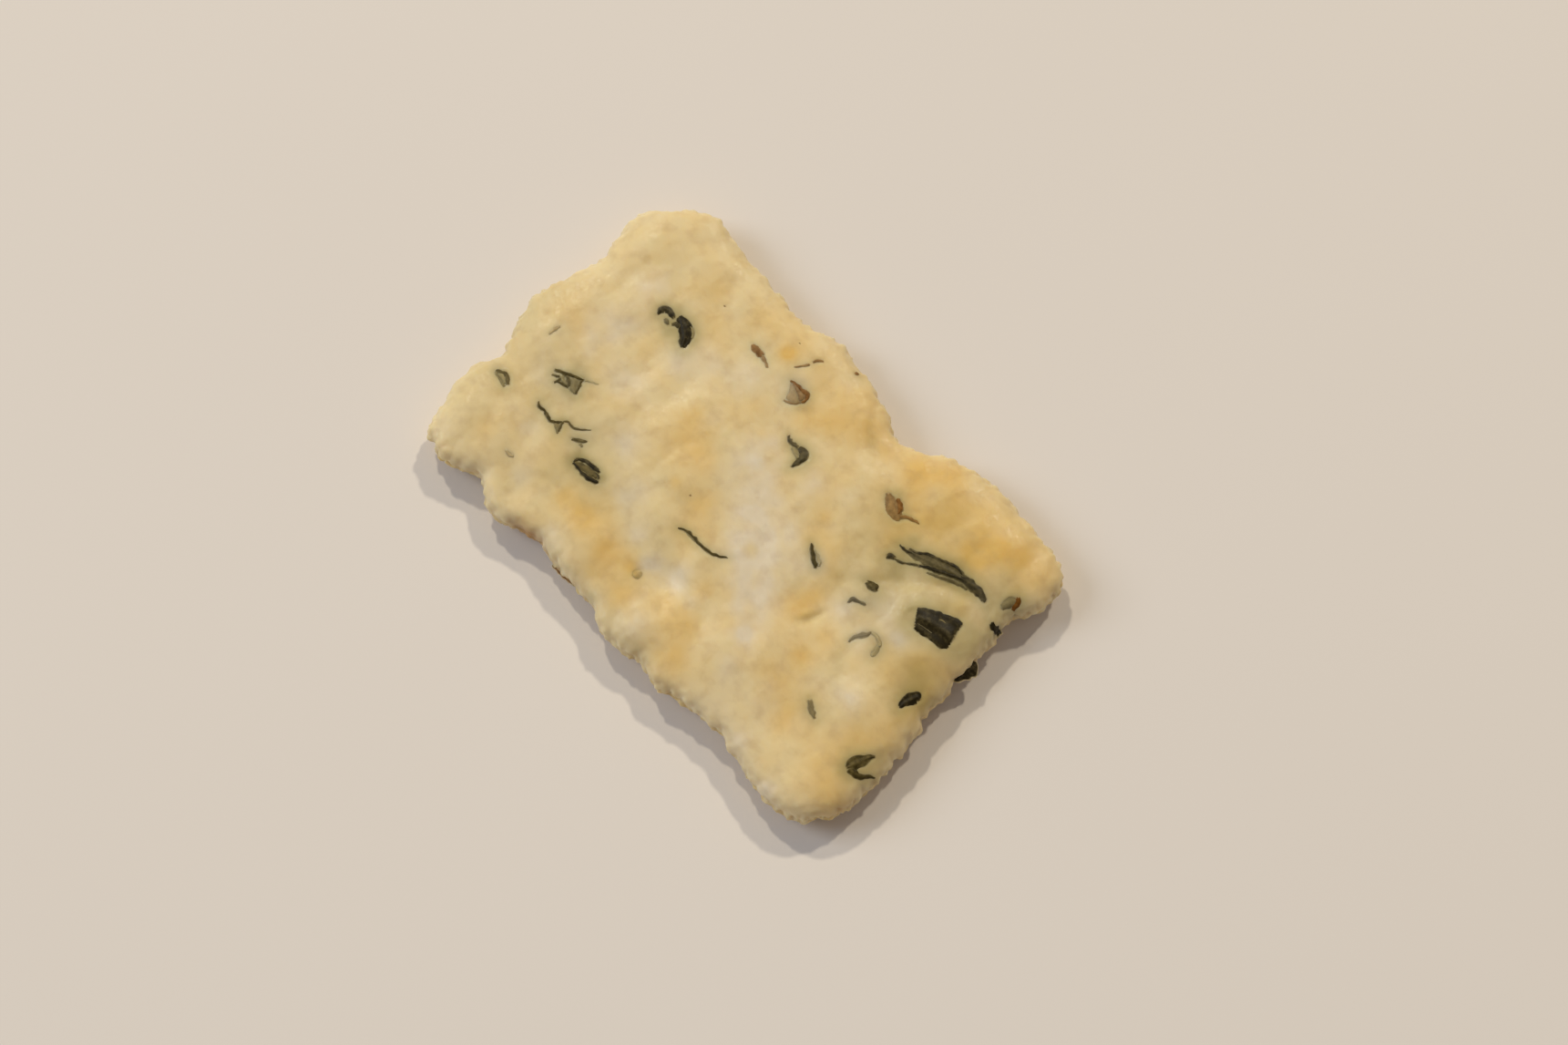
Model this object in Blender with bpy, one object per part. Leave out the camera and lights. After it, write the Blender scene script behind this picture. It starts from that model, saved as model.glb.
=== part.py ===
"""A seaweed rice cracker: one baked slab of rice dough, with chopped seaweed baked into its faces and rim.

The cracker lies flat on its underside. Its length runs along X and its width along Y, and the origin is
under the middle of its outline, on the surface that it rests on. The slab starts as a cube that is cut into
a grid. Formulas then move each point of that grid: first to its place in the outline, then up or down to
the puffed face that it belongs to.
"""

import bmesh
import bpy
import numpy as np

MM = 0.001

# Driving sizes in metres
LENGTH = 54.0 * MM
WIDTH = 34.3 * MM
THICKNESS = 3.9 * MM
UNDERSIDE_LIFT = 0.25 * MM
RIM_BAND = 0.8 * MM

# The slab's half sizes before its sides bulge
HALF_LENGTH = 26.1 * MM
HALF_WIDTH = 16.2 * MM

# Radius of each corner, by the signs of its X and Y
CORNER_RADIUS = {(-1, 1): 5.3 * MM, (1, 1): 3.8 * MM, (-1, -1): 2.9 * MM, (1, -1): 3.7 * MM}

# Bulges and dips of the far side, at +Y: place along the side, how far out it stands, reach to either way
FAR_SIDE = np.array([
    (-20.6, 1.0, 2.7), (-9.5, -0.6, 2.8), (-4.7, 0.6, 2.3),
    (6.2, -2.5, 3.8), (15.1, 1.0, 8.8), (19.9, -0.2, 1.1),
]) * MM

# The same for the near side, at -Y
NEAR_SIDE = np.array([
    (-22.4, 0.5, 1.3), (-18.0, -0.9, 1.4), (-14.2, 0.7, 2.5), (-9.9, -0.6, 2.7), (-3.5, -0.3, 1.1),
    (1.8, 1.0, 2.5), (7.5, 0.9, 1.7), (14.5, -0.4, 3.7), (21.4, 0.9, 4.9),
]) * MM

# The same for the right side, at +X, and the left side, at -X
RIGHT_SIDE = np.array([(9.3, -1.2, 2.5), (3.8, -1.1, 6.4), (-9.5, 0.9, 5.3)]) * MM
LEFT_SIDE = np.array([
    (-14.3, -1.3, 3.4), (-6.3, -1.4, 2.2), (0.1, 1.0, 2.3), (6.4, -0.7, 1.8), (11.9, 0.4, 1.9),
]) * MM

# Puffs of the upper face, and the hollows between them: place X and Y, height, reach
UPPER_PUFFS = np.array([
    (20.3, 1.6, 0.85, 3.6), (21.8, -5.6, 0.55, 2.6), (19.2, 13.4, 0.45, 3.6), (-22.6, 12.0, 0.35, 4.0),
    (-21.0, -12.6, 0.30, 3.4), (23.0, -13.4, 0.35, 3.4), (-6.4, -13.0, 0.60, 2.3), (3.2, -14.6, 0.50, 2.2),
    (-5.2, 0.2, 0.35, 4.4), (5.6, 6.6, 0.30, 4.0), (10.4, -11.0, 0.35, 3.0), (-14.6, -14.0, -0.55, 2.0),
    (1.4, -10.4, -0.60, 2.0), (-1.6, -8.2, -0.35, 2.2), (12.4, -1.8, -0.45, 3.0), (15.2, 5.0, -0.50, 1.8),
    (-15.6, 2.0, -0.35, 3.2), (6.0, 12.6, -0.45, 2.4), (-11.0, -5.0, -0.30, 2.6), (17.4, -12.0, -0.30, 2.2),
]) * MM

# Random relief: height and usual spacing of the puffs of both faces, and of the crags along the rim
PUFF_HEIGHT = 0.30 * MM
PUFF_SPACING = 9.0 * MM
KNOB_HEIGHT = 0.10 * MM
KNOB_SPACING = 3.6 * MM
HOLLOW_DEPTH = 0.42 * MM
CRAG_SIZE = 0.12 * MM
CRAG_SPACING = 2.6 * MM
PUFF_SEED, KNOB_SEED, HOLLOW_SEED, CRAG_SEED, UNDERSIDE_SEED = 11, 12, 13, 14, 15

# The rounding of the rim: a high number keeps the face flat for longer
RIM_SHARPNESS_X = 20
RIM_SHARPNESS_Y = 13

# Cells of the slab's grid, and how much they close up towards the rim
CELLS_X, CELLS_Y = 48, 32
CROWDING = 0.10
CROWDING_POWER = 8

# How far a piece of seaweed stands out of the dough, and how deep it is rooted
SEAWEED_PROUD = 0.28 * MM
SEAWEED_ROOT = 0.45 * MM

# Seaweed on the upper face: breadth at each end, then the line that the piece follows, in mm
UPPER_SEAWEED = [
    (2.2, 2.9, [(18.9, 3.0), (20.7, 3.7), (22.6, 4.5)]),
    (0.7, 1.0, [(13.4, 6.5), (14.9, 7.2), (16.4, 7.9), (18.6, 8.6), (20.2, 8.8), (22.0, 8.6)]),
    (0.5, 0.5, [(13.2, 5.0), (14.1, 5.4), (15.3, 6.2)]),
    (0.6, 0.8, [(-17.3, 6.4), (-16.8, 6.9), (-16.1, 6.9)]),
    (1.0, 1.1, [(-15.9, 7.1), (-15.1, 7.2), (-14.3, 6.8), (-13.5, 5.9)]),
    (0.8, 0.8, [(-23.0, -8.3), (-22.4, -8.0), (-21.5, -8.3)]),
    (0.9, 1.3, [(-19.5, -4.6), (-18.4, -4.1), (-16.9, -3.7)]),
    (0.5, 0.5, [(-18.4, -7.2), (-17.6, -7.6), (-15.8, -7.6), (-15.0, -7.1), (-14.4, -6.4), (-12.8, -5.2)]),
    (0.7, 0.7, [(-13.7, -7.5), (-12.5, -6.8)]),
    (1.1, 1.2, [(-11.9, -8.6), (-10.6, -8.3), (-9.2, -8.2)]),
    (0.6, 0.8, [(-9.2, 10.2), (-8.0, 10.3), (-6.8, 9.8)]),
    (0.5, 0.5, [(-5.4, 11.4), (-4.5, 12.5), (-4.0, 13.7)]),
    (1.0, 1.3, [(-4.0, 10.4), (-3.1, 10.0), (-2.5, 9.5)]),
    (0.6, 1.2, [(-0.6, 6.7), (0.6, 6.5), (1.5, 5.6)]),
    (0.9, 0.8, [(9.3, 9.4), (10.3, 9.0), (11.4, 8.8), (12.8, 9.4)]),
    (0.5, 0.5, [(-1.0, -6.3), (-0.2, -5.9), (1.1, -6.0), (2.4, -5.7), (3.8, -5.0)]),
    (0.5, 0.7, [(8.0, 1.1), (8.8, 0.6), (9.6, 0.1)]),
    (0.9, 0.8, [(14.0, 2.2), (14.7, 2.8)]),
    (0.5, 0.5, [(13.8, 0.1), (14.4, 0.5), (15.2, 0.8)]),
    (0.6, 0.5, [(16.6, -2.5), (16.8, -1.5), (17.5, -0.7), (18.5, -0.9), (18.9, -1.8)]),
    (0.5, 0.6, [(18.3, -8.7), (18.9, -9.2), (19.7, -9.5)]),
    (0.9, 1.0, [(23.5, -3.0), (24.4, -1.8)]),
    (1.2, 0.9, [(24.4, -10.2), (24.8, -9.3), (25.4, -8.2)]),
]

# Seaweed that sticks out of the rim: the same, with its level as a share of the slab's height
RIM_SEAWEED = [
    (1.6, 1.9, 0.55, [(25.0, 1.2), (25.2, 2.8), (25.4, 4.1)]),
    (0.8, 0.9, 0.60, [(23.4, 7.2), (24.7, 7.4)]),
    (1.0, 1.2, 0.66, [(23.2, 9.8), (24.4, 10.6)]),
    (0.7, 0.7, 0.55, [(-0.9, 15.4), (0.3, 15.6)]),
    (0.7, 0.7, 0.40, [(-6.2, -15.9), (-4.6, -16.1), (-2.9, -15.9)]),
]

# Seaweed on the underside, drawn at random where the face is hollow enough to hold it
UNDERSIDE_PIECES = 9
UNDERSIDE_TRIES = 400
UNDERSIDE_ROOM = 0.34 * MM
UNDERSIDE_FLOOR = 0.06 * MM
UNDERSIDE_PROUD = 0.16 * MM
UNDERSIDE_LENGTHS = (1.6 * MM, 4.2 * MM)
UNDERSIDE_BREADTHS = (0.7 * MM, 1.5 * MM)
UNDERSIDE_APART = 4.5 * MM


def clear_scene():
    for item in list(bpy.data.objects):
        bpy.data.objects.remove(item)


def material(name, colour, roughness):
    """A Principled BSDF with one colour, given as linear red, green and blue."""
    made = bpy.data.materials.new(name)
    made.use_nodes = True
    shader = made.node_tree.nodes["Principled BSDF"]
    shader.inputs["Base Color"].default_value = (*colour, 1.0)
    shader.inputs["Roughness"].default_value = roughness
    shader.inputs["Metallic"].default_value = 0.0
    return made


def ripples(x, y, spacing, seed, waves=18):
    """A smooth random field about zero: the sum of plane waves with seeded directions and phases."""
    draw = np.random.default_rng(seed)
    angle = draw.uniform(0.0, 2.0 * np.pi, waves)
    phase = draw.uniform(0.0, 2.0 * np.pi, waves)
    turns = 2.0 * np.pi / (spacing * draw.uniform(0.75, 1.4, waves))
    total = np.zeros(np.shape(x))
    for a, p, k in zip(angle, phase, turns):
        total = total + np.cos(k * (x * np.cos(a) + y * np.sin(a)) + p)
    return total * np.sqrt(2.0 / waves)


def puffed(field):
    """Rounds a random field into domes that meet in narrow valleys."""
    return np.sqrt(field**2 + 0.12) - 0.85


def bulges(along, side):
    """How far a side stands out at each place along it: the sum of its bell curves."""
    total = np.zeros(np.shape(along))
    for place, out, reach in side:
        total = total + out * np.exp(-(((along - place) / reach) ** 2))
    return total


def mounds(x, y, rows):
    """The sum of round bell curves, each with its place, height and reach."""
    total = np.zeros(np.shape(x))
    for mound_x, mound_y, height, reach in rows:
        total = total + height * np.exp(-((x - mound_x) ** 2 + (y - mound_y) ** 2) / reach**2)
    return total


def corner_pull(u, v):
    """How far the nearest corners draw the outline in: a round corner stands back by 0.29 of its radius."""
    total = np.zeros(np.shape(u))
    for (sign_x, sign_y), radius in CORNER_RADIUS.items():
        total = total + radius * (1.0 + sign_x * u) * (1.0 + sign_y * v) / 4.0
    return total * (1.0 - np.sqrt(0.5))


def outline_place(u, v):
    """The X and Y of a grid point, where u and v run from -1 to 1 from side to side.

    Each side is drawn in towards its ends by a high power, whose slope reaches 1 at the corner, as on a circle.
    """
    pull = corner_pull(u, v)
    x = u * (HALF_LENGTH - pull * np.abs(v) ** (HALF_WIDTH / pull - 1.0))
    y = v * (HALF_WIDTH - pull * np.abs(u) ** (HALF_LENGTH / pull - 1.0))
    to_right = (0.5 + 0.5 * x / HALF_LENGTH) ** 3
    to_left = (0.5 - 0.5 * x / HALF_LENGTH) ** 3
    to_far = (0.5 + 0.5 * y / HALF_WIDTH) ** 3
    to_near = (0.5 - 0.5 * y / HALF_WIDTH) ** 3
    moved_x = x + to_right * bulges(y, RIGHT_SIDE) - to_left * bulges(y, LEFT_SIDE)
    moved_y = y + to_far * bulges(x, FAR_SIDE) - to_near * bulges(x, NEAR_SIDE)
    crag = CRAG_SIZE * ripples(x, y, CRAG_SPACING, CRAG_SEED)
    moved_x = moved_x + crag * np.sign(u) * np.abs(u) ** RIM_SHARPNESS_X
    moved_y = moved_y + crag * np.sign(v) * np.abs(v) ** RIM_SHARPNESS_Y
    return moved_x, moved_y


def outline_fit():
    """The middle and the half sizes of the outline, measured along its four sides."""
    run = np.linspace(-1.0, 1.0, 401)
    ones = np.ones_like(run)
    u = np.concatenate([run, run, ones, -ones])
    v = np.concatenate([ones, -ones, run, run])
    x, y = outline_place(u, v)
    middle = np.array([x.max() + x.min(), y.max() + y.min()]) / 2.0
    half = np.array([x.max() - x.min(), y.max() - y.min()]) / 2.0
    return middle, half


MIDDLE, HALF_SIZE = outline_fit()


def place(u, v):
    """outline_place, centred on the origin and scaled to the named length and width."""
    x, y = outline_place(u, v)
    return (x - MIDDLE[0]) * LENGTH / 2.0 / HALF_SIZE[0], (y - MIDDLE[1]) * WIDTH / 2.0 / HALF_SIZE[1]


def grid_of(x, y):
    """The grid coordinates of a place, found by stepping towards it."""
    u = np.asarray(x, float) / (LENGTH / 2.0)
    v = np.asarray(y, float) / (WIDTH / 2.0)
    for _ in range(12):
        found_x, found_y = place(u, v)
        u = np.clip(u + (x - found_x) / (LENGTH / 2.0), -1.0, 1.0)
        v = np.clip(v + (y - found_y) / (WIDTH / 2.0), -1.0, 1.0)
    return u, v


def fullness(u, v):
    """1 over the faces, falling to 0 at the rim along a round shoulder."""
    return np.sqrt((1.0 - np.abs(u) ** RIM_SHARPNESS_X) * (1.0 - np.abs(v) ** RIM_SHARPNESS_Y))


def upper_face(u, v):
    """Height of the upper face: the slab, its random puffs and knobs, and the puffs that have a set place."""
    x, y = place(u, v)
    relief = PUFF_HEIGHT * puffed(ripples(x, y, PUFF_SPACING, PUFF_SEED))
    relief = relief + KNOB_HEIGHT * ripples(x, y, KNOB_SPACING, KNOB_SEED)
    relief = relief + mounds(x, y, UPPER_PUFFS)
    rise = (THICKNESS - RIM_BAND) / 2.0 + relief
    return UNDERSIDE_LIFT + (THICKNESS + RIM_BAND) / 2.0 + fullness(u, v) * rise


def under_face(u, v):
    """Height of the underside: shallow hollows between flats, which baked level on the sheet at height 0."""
    x, y = place(u, v)
    relief = HOLLOW_DEPTH * ripples(x, y, PUFF_SPACING, HOLLOW_SEED)
    drop = (THICKNESS - RIM_BAND) / 2.0 - relief
    height = UNDERSIDE_LIFT + (THICKNESS - RIM_BAND) / 2.0 - fullness(u, v) * drop
    return np.maximum(height, 0.0)


def crowded(line):
    """Moves evenly spaced grid lines from -1 to 1 closer together near both ends."""
    return line * (1.0 + CROWDING - CROWDING * np.abs(line) ** CROWDING_POWER)


def cut_cube(name, cuts_x, cuts_y):
    """A cube from -1 to 1 on each axis, cut into cells along X and Y, as a mesh object."""
    shape = bmesh.new()
    bmesh.ops.create_cube(shape, size=2.0)
    for axis, cells in ((0, cuts_x), (1, cuts_y)):
        if cells < 2:
            continue
        crossing = [e for e in shape.edges if abs(e.verts[0].co[axis] - e.verts[1].co[axis]) > 1.0]
        bmesh.ops.subdivide_edges(shape, edges=crossing, cuts=cells - 1, use_grid_fill=True)
    mesh = bpy.data.meshes.new(name)
    shape.to_mesh(mesh)
    shape.free()
    return bpy.data.objects.new(name, mesh)


def points_of(thing):
    points = np.empty(len(thing.data.vertices) * 3)
    thing.data.vertices.foreach_get("co", points)
    return points.reshape(-1, 3)


def move_points(thing, x, y, z):
    thing.data.vertices.foreach_set("co", np.stack([x, y, z], axis=1).ravel())
    thing.data.update()


def build_slab():
    """The dough: a cut cube whose top and bottom become the two faces."""
    slab = cut_cube("rice_cracker", CELLS_X, CELLS_Y)
    points = points_of(slab)
    u = crowded(points[:, 0])
    v = crowded(points[:, 1])
    x, y = place(u, v)
    z = np.where(points[:, 2] > 0.0, upper_face(u, v), under_face(u, v))
    move_points(slab, x, y, z)
    return slab


def line_through(points, share):
    """Places at the given shares of the length of a line through the points."""
    steps = np.linalg.norm(np.diff(points, axis=0), axis=1)
    run = np.concatenate([[0.0], np.cumsum(steps)]) / steps.sum()
    return np.interp(share, run, points[:, 0]), np.interp(share, run, points[:, 1])


def build_seaweed(name, points, breadths, heights):
    """One piece of seaweed: a flat bar that follows its line, with blunt ends.

    heights gives the bottom and the top of the bar for the X and Y of its points.
    """
    bar = cut_cube(name, max(3, len(points)), 1)
    shape = points_of(bar)
    share = (shape[:, 0] + 1.0) / 2.0
    centre_x, centre_y = line_through(points, share)
    ahead = line_through(points, np.minimum(share + 0.12, 1.0))
    behind = line_through(points, np.maximum(share - 0.12, 0.0))
    run_x, run_y = ahead[0] - behind[0], ahead[1] - behind[1]
    length = np.hypot(run_x, run_y)
    taper = 0.55 + 0.45 * np.sqrt(np.maximum(1.0 - (2.0 * share - 1.0) ** 4, 0.0))
    half_breadth = 0.5 * taper * (breadths[0] + (breadths[1] - breadths[0]) * share)
    x = centre_x - shape[:, 1] * half_breadth * run_y / length
    y = centre_y + shape[:, 1] * half_breadth * run_x / length
    bottom, top = heights(x, y)
    move_points(bar, x, y, np.where(shape[:, 2] > 0.0, top, bottom))
    return bar


def on_upper_face(x, y):
    """A bar that is rooted in the upper face and stands a little proud of it."""
    surface = upper_face(*grid_of(x, y))
    return surface - SEAWEED_ROOT, surface + SEAWEED_PROUD


def at_rim(level):
    """A bar that lies level in the rim, at a share of the slab's height."""

    def heights(x, y):
        middle = np.full(np.shape(x), UNDERSIDE_LIFT + level * THICKNESS)
        return middle - SEAWEED_ROOT, middle + SEAWEED_PROUD

    return heights


def on_underside(x, y):
    """A bar that is rooted in the underside and stays clear of the surface below it."""
    surface = under_face(*grid_of(x, y))
    return np.maximum(surface - UNDERSIDE_PROUD, UNDERSIDE_FLOOR), surface + SEAWEED_ROOT


def underside_lines():
    """Random straight lines for seaweed on the underside, apart from each other and only where there is room."""
    draw = np.random.default_rng(UNDERSIDE_SEED)
    chosen = []
    for _ in range(UNDERSIDE_TRIES):
        middle = draw.uniform([-0.42 * LENGTH, -0.40 * WIDTH], [0.42 * LENGTH, 0.40 * WIDTH])
        angle = draw.uniform(0.0, np.pi)
        length = draw.uniform(*UNDERSIDE_LENGTHS)
        breadth = draw.uniform(*UNDERSIDE_BREADTHS)
        half_run = 0.5 * length * np.array([np.cos(angle), np.sin(angle)])
        line = np.array([middle - half_run, middle, middle + half_run])
        room = under_face(*grid_of(line[:, 0], line[:, 1])).min()
        apart = all(np.linalg.norm(middle - other[1]) > UNDERSIDE_APART for other, _ in chosen)
        if room > UNDERSIDE_ROOM and apart:
            chosen.append((line, breadth))
        if len(chosen) == UNDERSIDE_PIECES:
            break
    return chosen


def all_seaweed():
    """Every piece of seaweed as its own object."""
    pieces = []
    for start, end, line in UPPER_SEAWEED:
        pieces.append(build_seaweed("upper_seaweed", np.array(line) * MM, (start * MM, end * MM), on_upper_face))
    for start, end, level, line in RIM_SEAWEED:
        pieces.append(build_seaweed("rim_seaweed", np.array(line) * MM, (start * MM, end * MM), at_rim(level)))
    for line, breadth in underside_lines():
        pieces.append(build_seaweed("underside_seaweed", line, (breadth, breadth), on_underside))
    return pieces


def fuse(body, pieces, collection):
    """Joins the pieces to the body with one Boolean union, applies it and removes the pieces."""
    union = body.modifiers.new("fuse", "BOOLEAN")
    union.operation = "UNION"
    union.operand_type = "COLLECTION"
    union.collection = collection
    union.solver = "EXACT"
    union.material_mode = "TRANSFER"
    bpy.context.view_layer.update()
    graph = bpy.context.evaluated_depsgraph_get()
    joined = bpy.data.meshes.new_from_object(body.evaluated_get(graph))
    body.modifiers.clear()
    body.data = joined
    for piece in pieces:
        bpy.data.objects.remove(piece)
    bpy.data.collections.remove(collection)


def main():
    clear_scene()
    dough = material("baked_rice_dough", (0.60, 0.43, 0.22), 0.55)
    seaweed = material("dried_seaweed", (0.025, 0.022, 0.010), 0.50)
    cracker = bpy.data.collections.new("rice_cracker")
    toppings = bpy.data.collections.new("seaweed")
    bpy.context.scene.collection.children.link(cracker)
    bpy.context.scene.collection.children.link(toppings)
    slab = build_slab()
    slab.data.materials.append(dough)
    cracker.objects.link(slab)
    pieces = all_seaweed()
    for piece in pieces:
        piece.data.materials.append(seaweed)
        toppings.objects.link(piece)
    fuse(slab, pieces, toppings)
    slab.data.shade_smooth()
    slab.data.set_sharp_from_angle(angle=np.radians(40.0))


main()
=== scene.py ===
"""A seaweed rice cracker, dressed for its picture: baked dough with chopped seaweed in it, on a pale table.

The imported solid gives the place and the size. The dough is worked out again here on a fine grid, from the same
formulas as the solid, with its crumb, blisters, creases and colours. Each kind of seaweed is one piece.
Tables and formulas are in millimetres. The settings, the meshes and the lights are in metres, as Blender has them.
"""

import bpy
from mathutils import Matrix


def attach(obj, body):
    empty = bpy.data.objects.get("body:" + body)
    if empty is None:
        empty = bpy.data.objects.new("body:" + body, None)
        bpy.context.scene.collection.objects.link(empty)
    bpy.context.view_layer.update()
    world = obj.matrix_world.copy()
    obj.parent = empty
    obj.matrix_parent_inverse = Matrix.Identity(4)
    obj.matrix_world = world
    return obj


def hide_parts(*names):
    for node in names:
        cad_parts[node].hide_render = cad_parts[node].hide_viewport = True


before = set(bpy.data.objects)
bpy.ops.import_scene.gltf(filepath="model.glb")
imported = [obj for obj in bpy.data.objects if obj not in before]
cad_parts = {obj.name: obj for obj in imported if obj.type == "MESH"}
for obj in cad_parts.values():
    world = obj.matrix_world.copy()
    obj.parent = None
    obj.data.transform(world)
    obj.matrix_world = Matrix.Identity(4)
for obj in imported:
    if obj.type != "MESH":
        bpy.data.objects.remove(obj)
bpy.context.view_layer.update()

import bpy
import numpy as np
from mathutils import Matrix, Vector

bl_info = {
    "name": "Seaweed Rice Cracker",
    "version": (1, 0, 0),
    "blender": (4, 5, 0),
    "location": "3D View > Sidebar > Cracker",
    "description": "Makes a baked rice cracker with chopped seaweed, and a table and lights for its picture",
    "category": "Add Mesh",
}

NODE = "rice_cracker"
MM = 0.001


def linear(code):
    """sRGB hex, such as "E0C090", as linear red, green and blue."""
    share = np.array([int(code[i : i + 2], 16) for i in (0, 2, 4)]) / 255.0
    light = np.where(share <= 0.04045, share / 12.92, ((share + 0.055) / 1.055) ** 2.4)
    return tuple(float(c) for c in light)


# ---- the shape of the slab, as the solid has it ----

LENGTH, WIDTH, THICKNESS = 54.0, 34.3, 3.9
UNDERSIDE_LIFT, RIM_BAND = 0.25, 0.8
HALF_LENGTH, HALF_WIDTH = 26.1, 16.2
CORNER_RADIUS = {(-1, 1): 5.3, (1, 1): 3.8, (-1, -1): 2.9, (1, -1): 3.7}

# Bulges and dips of each side: place along the side, how far out it stands, reach to either way
FAR_SIDE = [
    (-20.6, 1.0, 2.7), (-9.5, -0.6, 2.8), (-4.7, 0.6, 2.3), (6.2, -2.5, 3.8), (15.1, 1.0, 8.8),
    (19.9, -0.2, 1.1),
]
NEAR_SIDE = [
    (-22.4, 0.5, 1.3), (-18.0, -0.9, 1.4), (-14.2, 0.7, 2.5), (-9.9, -0.6, 2.7), (-3.5, -0.3, 1.1),
    (1.8, 1.0, 2.5), (7.5, 0.9, 1.7), (14.5, -0.4, 3.7), (21.4, 0.9, 4.9),
]
RIGHT_SIDE = [(9.3, -1.2, 2.5), (3.8, -1.1, 6.4), (-9.5, 0.9, 5.3)]
LEFT_SIDE = [(-14.3, -1.3, 3.4), (-6.3, -1.4, 2.2), (0.1, 1.0, 2.3), (6.4, -0.7, 1.8), (11.9, 0.4, 1.9)]

# Puffs and hollows of the upper face: place X and Y, reach, height
UPPER_PUFFS = [
    (20.3, 1.6, 3.6, 0.85), (21.8, -5.6, 2.6, 0.55), (19.2, 13.4, 3.6, 0.45), (-22.6, 12, 4, 0.35),
    (-21, -12.6, 3.4, 0.3), (25.2, -15.2, 4.4, 0.55), (-6.4, -13, 2.3, 0.6), (3.2, -14.6, 2.2, 0.5),
    (-5.2, 0.2, 4.4, 0.35), (5.6, 6.6, 4, 0.3), (10.4, -11, 3, 0.35), (-14.6, -14, 2, -0.55),
    (1.4, -10.4, 2, -0.6), (-1.6, -8.2, 2.2, -0.35), (12.4, -1.8, 3, -0.45), (15.2, 5, 1.8, -0.5),
    (-15.6, 2, 3.2, -0.35), (6, 12.6, 2.4, -0.45), (-11, -5, 2.6, -0.3), (17.4, -12, 2.2, -0.3),
]

# The random relief is lower here than in the solid, because its height was matched to the light in the picture
PUFF_HEIGHT, PUFF_SPACING = 0.10, 9.0
KNOB_HEIGHT, KNOB_SPACING = 0.012, 3.6
PLACED_PUFF_SHARE = 0.75
VALLEY_BREADTH, PUFF_MIDDLE = 0.12, 0.85
HOLLOW_DEPTH = 0.42
CRAG_SIZE, CRAG_SPACING = 0.10, 2.6
PUFF_SEED, KNOB_SEED, HOLLOW_SEED, CRAG_SEED, UNDERSIDE_SEED = 11, 12, 13, 14, 15
RIM_SHARPNESS_X, RIM_SHARPNESS_Y = 20, 13
OUTLINE_SAMPLES, SEARCH_STEPS = 401, 12


def ripples(x, y, spacing, seed, waves=18):
    """A smooth random field about zero: the sum of plane waves with seeded directions and phases."""
    draw = np.random.default_rng(seed)
    angle = draw.uniform(0.0, 2.0 * np.pi, waves)
    phase = draw.uniform(0.0, 2.0 * np.pi, waves)
    turns = 2.0 * np.pi / (spacing * draw.uniform(0.75, 1.4, waves))
    total = np.zeros(np.shape(x))
    for a, p, k in zip(angle, phase, turns):
        total = total + np.cos(k * (x * np.cos(a) + y * np.sin(a)) + p)
    return total * np.sqrt(2.0 / waves)


def puffed(field):
    """Rounds a random field into domes that meet in narrow valleys."""
    return np.sqrt(field**2 + VALLEY_BREADTH) - PUFF_MIDDLE


def bulges(along, side):
    """How far a side stands out at each place along it: the sum of its bell curves."""
    return sum(out * np.exp(-(((along - place) / reach) ** 2)) for place, out, reach in side)


def mounds(x, y, rows):
    """The sum of round bell curves, each with its place, its reach and its height or strength."""
    return sum(top * np.exp(-((x - a) ** 2 + (y - b) ** 2) / reach**2) for a, b, reach, top in rows)


def outline_place(u, v):
    """The X and Y of a grid point. Each side is drawn in at its ends by a high power, and then bulges."""
    radius = sum(r * (1.0 + a * u) * (1.0 + b * v) / 4.0 for (a, b), r in CORNER_RADIUS.items())
    pull = radius * (1.0 - np.sqrt(0.5))
    x = u * (HALF_LENGTH - pull * np.abs(v) ** (HALF_WIDTH / pull - 1.0))
    y = v * (HALF_WIDTH - pull * np.abs(u) ** (HALF_LENGTH / pull - 1.0))
    right, left = (0.5 + 0.5 * x / HALF_LENGTH) ** 3, (0.5 - 0.5 * x / HALF_LENGTH) ** 3
    far, near = (0.5 + 0.5 * y / HALF_WIDTH) ** 3, (0.5 - 0.5 * y / HALF_WIDTH) ** 3
    crag = CRAG_SIZE * ripples(x, y, CRAG_SPACING, CRAG_SEED)
    moved_x = x + right * bulges(y, RIGHT_SIDE) - left * bulges(y, LEFT_SIDE)
    moved_y = y + far * bulges(x, FAR_SIDE) - near * bulges(x, NEAR_SIDE)
    moved_x = moved_x + crag * np.sign(u) * np.abs(u) ** RIM_SHARPNESS_X
    moved_y = moved_y + crag * np.sign(v) * np.abs(v) ** RIM_SHARPNESS_Y
    return moved_x, moved_y


def outline_fit():
    """The middle and the half sizes of the outline, measured along its four sides."""
    run = np.linspace(-1.0, 1.0, OUTLINE_SAMPLES)
    ones = np.ones_like(run)
    x, y = outline_place(np.concatenate([run, run, ones, -ones]), np.concatenate([ones, -ones, run, run]))
    return np.array([x.max() + x.min(), y.max() + y.min()]) / 2.0, np.array([np.ptp(x), np.ptp(y)]) / 2.0


MIDDLE, HALF_SIZE = outline_fit()


def place(u, v):
    """outline_place, centred on the origin and scaled to the named length and width."""
    x, y = outline_place(u, v)
    return (x - MIDDLE[0]) * LENGTH / 2.0 / HALF_SIZE[0], (y - MIDDLE[1]) * WIDTH / 2.0 / HALF_SIZE[1]


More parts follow.
